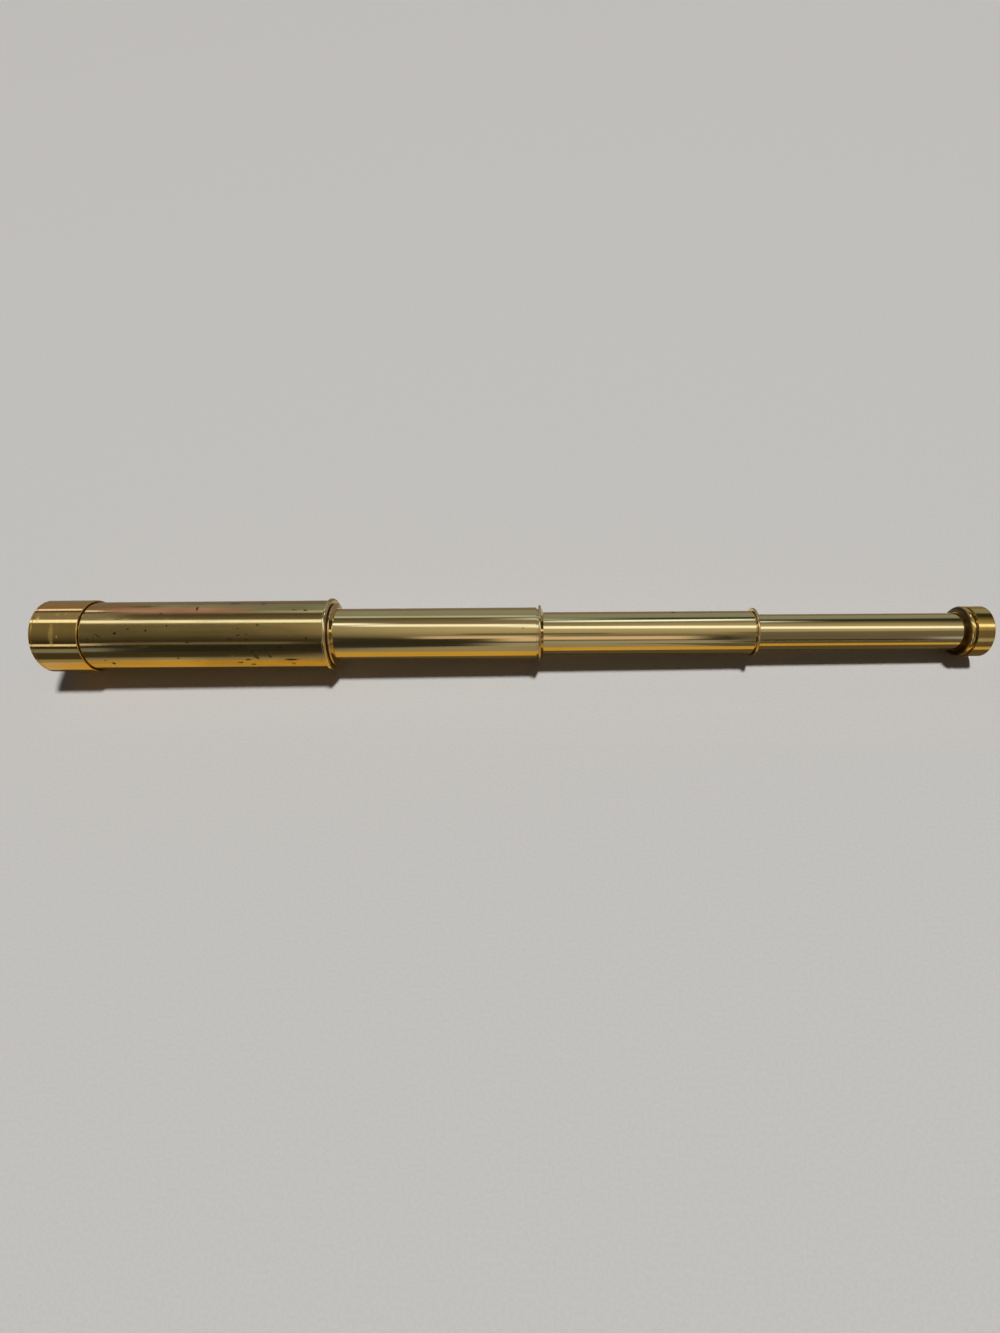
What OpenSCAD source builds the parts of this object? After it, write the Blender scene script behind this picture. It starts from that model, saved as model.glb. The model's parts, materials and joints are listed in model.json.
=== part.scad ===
// Brass spyglass with a barrel and three draws, pulled out to its full length.
// Every piece is turned about the X axis. x = 0 is the rim in front of the object lens, and
// x grows towards the eye. Draws and collars are numbered from the barrel to the eye end.

/* [Barrel] */
// Outer diameter of the barrel tube
barrel_d = 41.5; // [39:0.5:46]
// Wall of the barrel tube
barrel_wall = 1; // [0.7:0.1:1.3]
// Length of barrel tube in view, from the objective cell to the barrel collar
barrel_len = 146; // [130:1:180]

/* [Objective cell] */
// Length of the objective cell
cell_len = 29.5; // [28:0.5:36]
// Wall of the cell where it is screwed over the barrel tube
cell_wall = 1.25; // [0.9:0.05:1.8]
// Length of barrel tube that is screwed into the cell
cell_grip = 12.5; // [8:0.5:13]
// Chamfer on the cell's outer edges
cell_edge = 0.4; // [0.2:0.1:0.7]
// Distance of the turned line from the rim
rim_line_from = 1.6; // [1:0.1:4]
// Width of the turned line
rim_line_w = 0.4; // [0.2:0.1:0.8]
// Depth of the turned line
rim_line_depth = 0.2; // [0.1:0.05:0.4]
// Wall around the straight recess in front of the lens
recess_wall = 2.4; // [1.8:0.1:2.8]
// Depth from the rim to the lip that the lens rests on
lens_sink = 6; // [5.2:0.1:8]
// Thickness of that lip
lip_t = 1; // [0.6:0.1:1.5]

/* [Object lens] */
// How much smaller than the barrel the lens is, all round
lens_inset = 1.75; // [1.5:0.05:2.5]
// Width of lens edge that the lip and the retaining ring cover
lens_edge = 1; // [0.6:0.1:2]
// Middle thickness of the front glass
crown_t = 5; // [4:0.1:5.5]
// Radius of the front glass's front surface
crown_front = 240; // [180:5:400]
// Radius of the surface that the two glasses share
crown_back = 170; // [140:5:300]
// Middle thickness of the back glass
flint_t = 3; // [2:0.1:3.5]
// Length of the ring that holds the lens in the cell
lens_ring_len = 3; // [2:0.1:3.5]

/* [Draws] */
// Outer diameter of draw 1
draw_1_d = 31.3; // [30:0.1:33]
// Outer diameter of draw 2
draw_2_d = 25.5; // [25:0.1:26.5]
// Outer diameter of draw 3
draw_3_d = 21.3; // [20.6:0.1:21.8]
// Wall of each draw's tube
draw_wall = 0.8; // [0.6:0.05:1]
// Length of draw 1 in view
draw_1_len = 119.5; // [90:0.5:121]
// Length of draw 2 in view
draw_2_len = 121; // [95:0.5:122]
// Length of draw 3 in view
draw_3_len = 113.7; // [90:0.5:118]

/* [Barrel collar] */
// How far the bead stands above the barrel tube
bead_rise = 1.25; // [0.8:0.05:2]
// Length of the barrel collar in view
collar_1_len = 4.5; // [4.3:0.1:7]
// Width of the bead, which is highest at its front
bead_w = 2.1; // [1.8:0.1:2.2]
// Rounding of the bead's front edge
bead_edge = 0.4; // [0.3:0.05:0.8]
// Width of the flat land on the bead's crest, which the spyglass rests on
bead_land = 0.4; // [0.2:0.1:0.6]
// How much lower than the bead the thin rim behind it is
thin_rim_drop = 2.8; // [2.2:0.1:3]
// Width of the thin rim
thin_rim_w = 1.1; // [0.8:0.1:1.2]
// Width of the valley between the bead and the thin rim
valley_w = 0.5; // [0.3:0.05:0.6]
// Depth of the valley below the thin rim
valley_depth = 0.6; // [0.3:0.05:0.8]

/* [Draw collars] */
// How far collar 2's rim stands above draw 1, which carries it
rim_2_rise = 1.4; // [0.8:0.05:2]
// Length of collar 2 in view
collar_2_len = 4; // [3.4:0.1:6]
// Width of the undercut in front of collar 2's rim
undercut_2 = 1.1; // [0.6:0.1:1.4]
// How far collar 3's rim stands above draw 2, which carries it
rim_3_rise = 1.65; // [0.8:0.05:2]
// Length of collar 3 in view
collar_3_len = 2.8; // [2.6:0.1:4]
// Width of the undercut in front of collar 3's rim
undercut_3 = 0.6; // [0.4:0.1:0.9]
// Width of the rounded rim on collars 2 and 3
rim_w = 1.4; // [1:0.1:1.6]
// Length of a collar's spigot inside its tube
spigot_len = 8; // [5:0.5:10]

/* [Guide sleeves and stop rings] */
// Length of the guide sleeve around draw 1
guide_1_len = 22; // [16:0.5:26]
// Length of the guide sleeve around draw 2
guide_2_len = 18; // [14:0.5:22]
// Length of the guide sleeve around draw 3
guide_3_len = 16; // [12:0.5:18]
// Wall of the guide sleeve around draw 1
guide_1_wall = 1.1; // [0.8:0.1:1.4]
// Wall of the guide sleeves around draws 2 and 3
guide_wall = 0.7; // [0.5:0.05:0.8]
// Saw cuts that part each sleeve into spring fingers
guide_cuts = 6; // [3:1:8]
// Width of a saw cut
cut_w = 0.8; // [0.5:0.1:1.2]
// Share of the sleeve's length that the cuts reach
cut_share = 0.7; // [0.4:0.05:0.8]
// Length of each stop ring
stop_len = 6; // [4:0.5:7]
// Width of the grease groove around each stop ring
stop_groove_w = 2; // [1:0.1:3]
// Depth of that groove
stop_groove_depth = 0.3; // [0.1:0.05:0.5]
// Thickness of the stop ring's lip in front of its tube
stop_lip_t = 1; // [0.6:0.1:1.5]
// How far that lip reaches inside the tube's bore
stop_lip_reach = 0.8; // [0.4:0.1:1.2]

/* [Glare stops] */
// Diameter of the hole in draw 1's glare stop
glare_1_d = 25; // [20:0.5:26]
// Diameter of the hole in draw 2's glare stop
glare_2_d = 14; // [12:0.5:18]
// Thickness of a glare stop
glare_t = 1.2; // [0.6:0.1:2]

/* [Erector and eyepiece] */
// Length of the erector tube
erector_len = 52; // [44:1:60]
// Length of the eyepiece tube
eyepiece_len = 47; // [40:1:54]
// Wall of both tubes at their lens seats
seat_wall = 0.6; // [0.5:0.05:1]
// Depth of the shoulder that a lens rests on
shoulder = 0.6; // [0.4:0.05:1.2]
// Depth of a lens seat
seat_len = 5.5; // [5:0.1:7]
// Curve radius of the two erector lenses
erector_curve = 22; // [18:1:30]
// Middle thickness of the erector lenses
erector_t = 4.4; // [3.8:0.1:4.8]
// Curve radius of the field lens
field_curve = 24; // [18:1:32]
// Middle thickness of the field lens
field_t = 4.5; // [3.8:0.1:4.8]
// Curve radius of the eye lens
eye_curve = 18; // [16:1:26]
// Middle thickness of the eye lens
eye_t = 5.2; // [4.6:0.1:5.6]
// Length of the rings that hold these lenses
small_ring_len = 1.5; // [1:0.1:1.7]
// Diameter of the hole in the erector's stop
erector_stop_d = 5; // [3:0.5:8]
// Diameter of the hole in the field stop
field_stop_d = 12; // [9:0.5:14]

/* [Eyecup] */
// Outer diameter of the eyecup
cup_d = 28.8; // [27.5:0.1:32]
// Length of the eyecup
cup_len = 13.5; // [12.8:0.1:16]
// Depth of the seat for the draw's end
cup_seat = 6.5; // [5:0.1:6.8]
// Diameter of the eye hole
eye_hole_d = 9; // [7:0.5:10]
// Diameter of the dish at its mouth
dish_d = 24.8; // [22:0.2:25.4]
// Radius of the dish's curve
dish_curve = 16.5; // [15:0.5:24]
// Distance of the turned groove from the cup's front
cup_groove_from = 2.8; // [1.5:0.1:4]
// Width of that groove
cup_groove_w = 1.5; // [0.8:0.1:2.5]
// Depth of that groove
cup_groove_depth = 0.8; // [0.3:0.1:1.2]
// Rounding of the cup's edge towards the draw
cup_front_edge = 1.3; // [0.4:0.1:1.6]
// Rounding of the cup's edge towards the eye
cup_edge = 0.6; // [0.3:0.1:1]

/* [Fits] */
// Radial gap between a draw and its guide sleeve
slide_fit = 0.05; // [0.02:0.01:0.1]
// Radial gap between a stop ring and the tube that it runs in
ring_fit = 0.08; // [0.03:0.01:0.1]
// Radial gap between pieces that are screwed or pressed together
seat_fit = 0.04; // [0.02:0.01:0.08]
// Play of a lens in its seat
lens_fit = 0.06; // [0.03:0.01:0.1]
// Gap that is left where a draw closes against the collar before it
close_gap = 0.3; // [0.2:0.1:1]
// Gap between a draw's stop ring and the sleeve that stops it
stop_gap = 0.1; // [0.05:0.05:0.3]

/* [Hidden] */

BARREL_BRASS = [0.62, 0.52, 0.29];
BRIGHT_BRASS = [0.80, 0.67, 0.36];
INNER_BRASS = [0.55, 0.45, 0.25];
BLACKENED = [0.12, 0.11, 0.10];
GLASS = [0.75, 0.88, 0.90, 0.5];

TURNED_FN = 144;
PROFILE_FN = 96;
LENS_FN = 720;
CUT_OVER = 1;

// Places along the axis
x_seam = cell_len;
x_barrel_front = x_seam - cell_grip;
x_barrel_end = x_seam + barrel_len;
x_collar_1 = x_barrel_end + collar_1_len;
x_draw_1_end = x_collar_1 + draw_1_len;
x_collar_2 = x_draw_1_end + collar_2_len;
x_draw_2_end = x_collar_2 + draw_2_len;
x_collar_3 = x_draw_2_end + collar_3_len;
x_cup = x_collar_3 + draw_3_len;
x_end = x_cup + cup_len;

// Radii of the tubes
barrel_r = barrel_d / 2;
barrel_in = barrel_r - barrel_wall;
draw_r = [draw_1_d / 2, draw_2_d / 2, draw_3_d / 2];
draw_in = [for (r = draw_r) r - draw_wall];

// Each sleeve ends against a lip at the rear of its collar, and its draw's stop ring comes
// to rest against its front end
sleeve_lip = [2, 1.6, 1.2];
guide_len = [guide_1_len, guide_2_len, guide_3_len];
guide_wall_of = [guide_1_wall, guide_wall, guide_wall];
x_collar_back = [x_collar_1, x_collar_2, x_collar_3];
x_sleeve_back = [for (i = [0:2]) x_collar_back[i] - sleeve_lip[i]];
x_sleeve_front = [for (i = [0:2]) x_sleeve_back[i] - guide_len[i]];
x_stop_back = [for (i = [0:2]) x_sleeve_front[i] - stop_gap];
x_tube_front = [for (i = [0:2]) x_stop_back[i] - stop_len + stop_lip_t];
outer_in = [barrel_in, draw_in[0], draw_in[1]];

// Object lens
lens_r = barrel_r - lens_inset;
aperture_r = lens_r - lens_edge;
x_crown = lens_sink - sag(aperture_r, crown_front) + lens_fit;
x_flint = x_crown + crown_t + lens_fit;
x_lens_back = x_flint + flint_t;

// Erector and eyepiece tubes, which share one bore, and the small lenses in them
inner_tube_r = draw_in[2] - seat_fit;
seat_r = inner_tube_r - seat_wall;
small_lens_r = seat_r - lens_fit;
small_bore_r = seat_r - shoulder;
x_erector = x_tube_front[2];
x_erector_end = x_erector + erector_len;
x_web = x_cup + cup_seat;
x_eyepiece = x_web - eyepiece_len;

// Flat sides of the small lenses. An erector lens and the eye lens rest on a shoulder by their
// curve, and the field lens rests on its flat.
x_erector_flat = x_erector + seat_len - erector_t + sag(small_bore_r, erector_curve) - lens_fit;
x_erector_rear_flat = x_erector + x_erector_end - x_erector_flat;
x_field_flat = x_eyepiece + seat_len;
x_eye_flat = x_web - seat_len + eye_t - sag(small_bore_r, eye_curve) + lens_fit;

// The field lens's ring reaches its curve, on the side of the object lens
small_ring_in = small_bore_r - shoulder / 2;
x_field_ring = x_field_flat - field_t + sag(small_ring_in, field_curve) - small_ring_len
    - lens_fit;

// Dish of the eyecup, part of a sphere whose middle lies behind the cup
x_dish_centre = x_end + sqrt(dish_curve * dish_curve - dish_d * dish_d / 4);

// Rise of a curve of radius bend at distance r from the axis
function sag(r, bend) = bend - sqrt(bend * bend - r * r);

// Turns a profile, drawn as [radius, x], about the X axis
module lathe() {
    rotate([0, 90, 0])
        rotate_extrude($fn = TURNED_FN)
            children();
}

// Profile of a plain ring
module band(r_in, r_out, x_from, x_to) {
    translate([r_in, x_from])
        square([r_out - r_in, x_to - x_from]);
}

// Profile of a round, for a bead or a rounded rim
module dot(r_at, x_at, size) {
    translate([r_at, x_at])
        circle(r = size, $fn = PROFILE_FN);
}

// Profile of a ring whose two outer edges are cut at 45 degrees
module edged_band(r_in, r_out, x_from, x_to, edge) {
    polygon([
        [r_in, x_from],
        [r_out - edge, x_from],
        [r_out, x_from + edge],
        [r_out, x_to - edge],
        [r_out - edge, x_to],
        [r_in, x_to]
    ]);
}

// Profile of a ring whose two outer edges are round
module round_band(r_in, r_out, x_from, x_to, edge_from, edge_to) {
    band(r_in, r_out, x_from + edge_from, x_to - edge_to);
    band(r_in, r_out - edge_from, x_from, x_from + edge_from);
    band(r_in, r_out - edge_to, x_to - edge_to, x_to);
    dot(r_out - edge_from, x_from + edge_from, edge_from);
    dot(r_out - edge_to, x_to - edge_to, edge_to);
}

// Two opposite slots in a ring's face, which a spanner turns it by
module spanner_slots(r_in, r_out, x_from, depth) {
    slot_w = 1.6;
    for (turn = [0, 180])
        rotate([turn, 0, 0])
            translate([x_from, -slot_w / 2, r_in - CUT_OVER])
                cube([depth, slot_w, r_out - r_in + 2 * CUT_OVER]);
}

// The profile between two curves of radius front and back, each bulging outwards
module glass_profile(r, x_front, x_back, front, back) {
    intersection() {
        band(0, r, x_front, x_back);
        translate([0, x_front + front])
            circle(r = front, $fn = LENS_FN);
        translate([0, x_back - back])
            circle(r = back, $fn = LENS_FN);
    }
}

// A lens that is flat on one side. Its flat lies at x_flat, and side is 1 where it bulges
// towards the eye and -1 where it bulges towards the object lens.
module flat_lens(x_flat, side, thick, bend) {
    color(GLASS)
        lathe()
            intersection() {
                band(0, small_lens_r, min(x_flat, x_flat + side * thick),
                    max(x_flat, x_flat + side * thick));
                translate([0, x_flat + side * (thick - bend)])
                    circle(r = bend, $fn = LENS_FN);
            }
}

// Ring in a lens seat, with its spanner slots in the face at x_slots
module small_ring(x_from, x_slots) {
    slot_depth = 0.7;
    color(BLACKENED)
        difference() {
            lathe()
                band(small_ring_in, seat_r - seat_fit, x_from, x_from + small_ring_len);
            spanner_slots(small_ring_in, seat_r, x_slots - slot_depth, 2 * slot_depth);
        }
}

// Tube with a lens seat turned in each end
module lens_tube(x_from, x_to) {
    color(BLACKENED)
        lathe()
            difference() {
                band(small_bore_r, inner_tube_r, x_from, x_to);
                band(0, seat_r, x_from - CUT_OVER, x_from + seat_len);
                band(0, seat_r, x_to - seat_len, x_to + CUT_OVER);
            }
}

// Disc with a round hole, across a tube
module disc_stop(r, hole_r, x_from, thick) {
    color(BLACKENED)
        lathe()
            polygon([
                [hole_r, x_from],
                [r, x_from],
                [r, x_from + thick],
                [hole_r + thick / 2, x_from + thick]
            ]);
}

// Sleeve that a draw runs in. Saw cuts part its front into spring fingers, each cut ends in
// a drilled hole, and a low band stiffens the fingers' tips.
module guide_sleeve(i) {
    r_in = draw_r[i] + slide_fit;
    r_out = r_in + guide_wall_of[i];
    tip_len = 2.5;
    tip_rise = 0.25;
    cut_len = guide_len[i] * cut_share;
    hole_r = cut_w * 0.9;
    color(INNER_BRASS)
        difference() {
            lathe() {
                band(r_in, r_out, x_sleeve_front[i], x_sleeve_back[i]);
                band(r_in, r_out + tip_rise, x_sleeve_front[i], x_sleeve_front[i] + tip_len);
            }
            for (n = [0:guide_cuts - 1])
                rotate([n * 360 / guide_cuts, 0, 0]) {
                    translate([x_sleeve_front[i] - CUT_OVER, -cut_w / 2, 0])
                        cube([cut_len + CUT_OVER, cut_w, r_out + CUT_OVER]);
                    translate([x_sleeve_front[i] + cut_len, 0, 0])
                        cylinder(r = hole_r, h = r_out + CUT_OVER, $fn = 48);
                }
        }
}

// Ring on a draw's front end that keeps it from being pulled out
module stop_ring(i) {
    r_out = outer_in[i] - ring_fit;
    r_seat = draw_r[i] + seat_fit;
    r_lip = draw_in[i] - stop_lip_reach;
    x_front = x_stop_back[i] - stop_len;
    x_middle = x_stop_back[i] - stop_len / 2;
    edge = 0.2;
    slot_depth = 0.6;
    color(INNER_BRASS)
        difference() {
            lathe()
                difference() {
                    edged_band(r_lip, r_out, x_front, x_stop_back[i], edge);
                    band(0, r_seat, x_front + stop_lip_t, x_stop_back[i] + CUT_OVER);
                    band(r_out - stop_groove_depth, r_out + CUT_OVER,
                        x_middle - stop_groove_w / 2, x_middle + stop_groove_w / 2);
                }
            spanner_slots(r_lip, draw_r[i], x_front - slot_depth, 2 * slot_depth);
        }
}

// Tube of a draw, which starts behind its stop ring's lip
module draw_tube(i, x_back) {
    color(BRIGHT_BRASS)
        lathe()
            band(draw_in[i], draw_r[i], x_tube_front[i], x_back);
}

// Thin collar on the rear of a draw: a spigot inside the tube, an undercut that reads as a
// dark line, a rounded rim and a slope down to the next draw
module thin_collar(i, rise, undercut, x_tube_end) {
    x_rim = x_tube_end + undercut;
    x_back = x_collar_back[i];
    r_rim = draw_r[i - 1] + rise;
    r_bore = draw_r[i] + slide_fit;
    r_spigot = draw_in[i - 1] - seat_fit;
    r_sleeve = r_bore + guide_wall_of[i] + seat_fit;
    rim_round = rim_w * 0.45;
    r_slope = r_rim - rim_w * 0.3;
    x_slope = x_rim + rim_w * 0.85;
    slope_foot = 0.5;
    color(BRIGHT_BRASS)
        lathe()
            difference() {
                union() {
                    band(r_bore, r_spigot, x_tube_end - spigot_len, x_rim + rim_w / 2);
                    round_band(r_bore, r_rim, x_rim, x_rim + rim_w, rim_round, rim_round);
                    polygon([
                        [r_bore, x_rim + rim_w / 2],
                        [r_slope, x_rim + rim_w / 2],
                        [r_slope, x_slope],
                        [r_bore + slope_foot, x_back],
                        [r_bore, x_back]
                    ]);
                }
                band(0, r_sleeve, x_tube_end - spigot_len - CUT_OVER, x_sleeve_back[i]);
            }
}

// Sleeve that holds the object lens, screwed over the barrel's front
module objective_cell() {
    r_out = barrel_r + cell_wall;
    r_recess = r_out - recess_wall;
    lip_x = lens_sink - lip_t;
    color(BRIGHT_BRASS)
        lathe()
            difference() {
                edged_band(aperture_r, r_out, 0, cell_len, cell_edge);
                // recess in front of the lens, with a small lead-in
                band(0, r_recess, -CUT_OVER, lip_x);
                polygon([
                    [0, -cell_edge],
                    [r_recess + 2 * cell_edge, -cell_edge],
                    [r_recess, cell_edge],
                    [0, cell_edge]
                ]);
                // lens seat, then the seat of the barrel tube
                band(0, lens_r + lens_fit, lens_sink, x_barrel_front + CUT_OVER);
                band(0, barrel_r + seat_fit, x_barrel_front, cell_len + CUT_OVER);
                // turned line behind the rim
                band(r_out - rim_line_depth, r_out + CUT_OVER, rim_line_from,
                    rim_line_from + rim_line_w);
            }
}

module objective_crown_lens() {
    color(GLASS)
        lathe()
            glass_profile(lens_r, x_crown, x_crown + crown_t, crown_front, crown_back);
}

// The back glass, whose front is hollow to fit the front glass
module objective_flint_lens() {
    color(GLASS)
        lathe()
            difference() {
                band(0, lens_r, x_crown, x_lens_back);
                translate([0, x_flint - crown_back])
                    circle(r = crown_back, $fn = LENS_FN);
            }
}

// Ring behind the object lens, with slots in its rear face
module objective_lens_ring() {
    slot_depth = 1.2;
    color(BLACKENED)
        difference() {
            lathe()
                band(aperture_r, lens_r + lens_fit - seat_fit, x_lens_back,
                    x_lens_back + lens_ring_len);
            spanner_slots(aperture_r, lens_r + lens_fit,
                x_lens_back + lens_ring_len - slot_depth, 2 * slot_depth);
        }
}

module main_barrel() {
    color(BARREL_BRASS)
        lathe()
            band(barrel_in, barrel_r, x_barrel_front, x_barrel_end);
}

// Collar at the barrel's rear: a spigot inside the tube, a bead that is highest at its front
// and rounds off to its back, a valley, a thin rounded rim and a short slope down to draw 1
module barrel_collar() {
    r_bead = barrel_r + bead_rise;
    bead_back = bead_w - bead_edge - bead_land;
    r_rim = r_bead - thin_rim_drop;
    rim_r = thin_rim_w / 2;
    r_bore = draw_r[0] + slide_fit;
    r_spigot = barrel_in - seat_fit;
    r_sleeve = r_bore + guide_1_wall + seat_fit;
    r_valley = r_rim - valley_depth;
    x_crest = x_barrel_end + bead_edge;
    x_back = x_crest + bead_land;
    x_bead_end = x_barrel_end + bead_w;
    x_rim = x_bead_end + valley_w;
    x_slope = x_rim + thin_rim_w;
    slope_foot = 0.6;
    color(BRIGHT_BRASS)
        lathe()
            difference() {
                union() {
                    band(r_bore, r_spigot, x_barrel_end - spigot_len, x_barrel_end);
                    band(r_bore, r_bead - bead_edge, x_barrel_end, x_crest);
                    dot(r_bead - bead_edge, x_crest, bead_edge);
                    band(r_bore, r_bead, x_crest, x_back);
                    band(r_bore, r_bead - bead_back, x_back, x_bead_end);
                    intersection() {
                        band(r_bore, r_bead, x_back, x_bead_end);
                        dot(r_bead - bead_back, x_back, bead_back);
                    }
                    band(r_bore, r_valley, x_bead_end, x_rim + rim_r);
                    band(r_bore, r_rim - rim_r, x_rim, x_slope);
                    dot(r_rim - rim_r, x_rim + rim_r, rim_r);
                    polygon([
                        [r_bore, x_rim + rim_r],
                        [r_rim - rim_r, x_rim + rim_r],
                        [r_rim - rim_r, x_slope],
                        [r_bore + slope_foot, x_collar_1],
                        [r_bore, x_collar_1]
                    ]);
                }
                band(0, r_sleeve, x_barrel_end - spigot_len - CUT_OVER, x_sleeve_back[0]);
            }
}

module barrel_guide_sleeve() {
    guide_sleeve(0);
}

module draw_1_tube() {
    draw_tube(0, x_draw_1_end);
}

module draw_1_stop_ring() {
    stop_ring(0);
}

module draw_1_glare_stop() {
    disc_stop(draw_in[0] - seat_fit, glare_1_d / 2, x_tube_front[0], glare_t);
}

module draw_1_collar() {
    thin_collar(1, rim_2_rise, undercut_2, x_draw_1_end);
}

module draw_1_guide_sleeve() {
    guide_sleeve(1);
}

module draw_2_tube() {
    draw_tube(1, x_draw_2_end);
}

module draw_2_stop_ring() {
    stop_ring(1);
}

module draw_2_glare_stop() {
    disc_stop(draw_in[1] - seat_fit, glare_2_d / 2, x_tube_front[1], glare_t);
}

module draw_2_collar() {
    thin_collar(2, rim_3_rise, undercut_3, x_draw_2_end);
}

module draw_2_guide_sleeve() {
    guide_sleeve(2);
}

module draw_3_tube() {
    draw_tube(2, x_web);
}

module draw_3_stop_ring() {
    stop_ring(2);
}

module erector_tube() {
    lens_tube(x_erector, x_erector_end);
}

module erector_front_lens() {
    flat_lens(x_erector_flat, 1, erector_t, erector_curve);
}

module erector_front_ring() {
    small_ring(x_erector_flat - small_ring_len, x_erector_flat - small_ring_len);
}

module erector_stop() {
    disc_stop(small_bore_r - seat_fit, erector_stop_d / 2, (x_erector + x_erector_end) / 2,
        glare_t);
}

module erector_rear_lens() {
    flat_lens(x_erector_rear_flat, -1, erector_t, erector_curve);
}

module erector_rear_ring() {
    small_ring(x_erector_rear_flat, x_erector_rear_flat + small_ring_len);
}

module eyepiece_tube() {
    lens_tube(x_eyepiece, x_web);
}

module field_lens() {
    flat_lens(x_field_flat, -1, field_t, field_curve);
}

module field_lens_ring() {
    small_ring(x_field_ring, x_field_ring);
}

module field_stop() {
    disc_stop(small_bore_r - seat_fit, field_stop_d / 2, (x_eyepiece + x_web) / 2, glare_t);
}

module eye_lens() {
    flat_lens(x_eye_flat, -1, eye_t, eye_curve);
}

module eye_lens_ring() {
    small_ring(x_eye_flat, x_eye_flat + small_ring_len);
}

// Cup at the eye end, with a seat for draw 3, a web with the eye hole and a round dish
module eyecup() {
    r_out = cup_d / 2;
    groove_x = x_cup + cup_groove_from + cup_groove_w / 2;
    color(BRIGHT_BRASS)
        lathe()
            difference() {
                round_band(eye_hole_d / 2, r_out, x_cup, x_end, cup_front_edge, cup_edge);
                band(0, draw_r[2] + seat_fit, x_cup - CUT_OVER, x_web);
                translate([0, x_dish_centre])
                    circle(r = dish_curve, $fn = LENS_FN);
                band(r_out - cup_groove_depth, r_out + CUT_OVER, groove_x - cup_groove_w / 2,
                    groove_x + cup_groove_w / 2);
            }
}

objective_cell();
objective_crown_lens();
objective_flint_lens();
objective_lens_ring();
main_barrel();
barrel_collar();
barrel_guide_sleeve();
draw_1_tube();
draw_1_stop_ring();
draw_1_glare_stop();
draw_1_collar();
draw_1_guide_sleeve();
draw_2_tube();
draw_2_stop_ring();
draw_2_glare_stop();
draw_2_collar();
draw_2_guide_sleeve();
draw_3_tube();
draw_3_stop_ring();
erector_tube();
erector_front_lens();
erector_front_ring();
erector_stop();
erector_rear_lens();
erector_rear_ring();
eyepiece_tube();
field_lens();
field_lens_ring();
field_stop();
eye_lens();
eye_lens_ring();
eyecup();
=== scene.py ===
"""Brass spyglass with a barrel and three draws, lying pulled out on a plain pale floor.

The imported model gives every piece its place. This script turns the pieces that show as finer
meshes, gives every piece its finish, and sets the floor, the light and the camera. Sizes are
in metres, and x runs along the spyglass from the object end to the eye end.
"""

import json
import logging
import math
from dataclasses import dataclass
from enum import Enum
from functools import cached_property
from typing import Callable, ClassVar, Sequence

import bmesh
import bpy
from mathutils import Matrix, Vector


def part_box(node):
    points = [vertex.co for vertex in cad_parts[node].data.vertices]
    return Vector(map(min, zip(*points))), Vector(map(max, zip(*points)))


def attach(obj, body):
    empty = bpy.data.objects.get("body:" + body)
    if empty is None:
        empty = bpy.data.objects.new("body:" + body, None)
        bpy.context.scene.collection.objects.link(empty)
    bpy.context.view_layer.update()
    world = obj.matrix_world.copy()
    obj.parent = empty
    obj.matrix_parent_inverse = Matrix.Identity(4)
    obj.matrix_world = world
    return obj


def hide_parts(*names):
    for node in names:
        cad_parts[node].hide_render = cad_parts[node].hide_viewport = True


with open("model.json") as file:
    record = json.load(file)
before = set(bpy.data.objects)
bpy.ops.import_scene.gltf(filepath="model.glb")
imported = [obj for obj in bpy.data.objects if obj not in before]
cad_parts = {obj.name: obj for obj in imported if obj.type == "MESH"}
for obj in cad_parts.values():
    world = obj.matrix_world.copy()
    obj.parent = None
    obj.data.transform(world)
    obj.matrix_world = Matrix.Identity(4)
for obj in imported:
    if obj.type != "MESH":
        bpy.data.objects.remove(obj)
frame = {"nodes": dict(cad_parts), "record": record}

log = logging.getLogger("spyglass")

MM = 0.001
TURNING_STEPS = 256
SMOOTH_UP_TO = math.radians(32)

Pair = tuple[float, float]
Triple = tuple[float, float, float]
Colour = Triple


class Body(Enum):
    """The bodies that slide in one another."""

    BARREL = "barrel"
    DRAW_1 = "draw_1"
    DRAW_2 = "draw_2"
    DRAW_3 = "draw_3"


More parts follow.
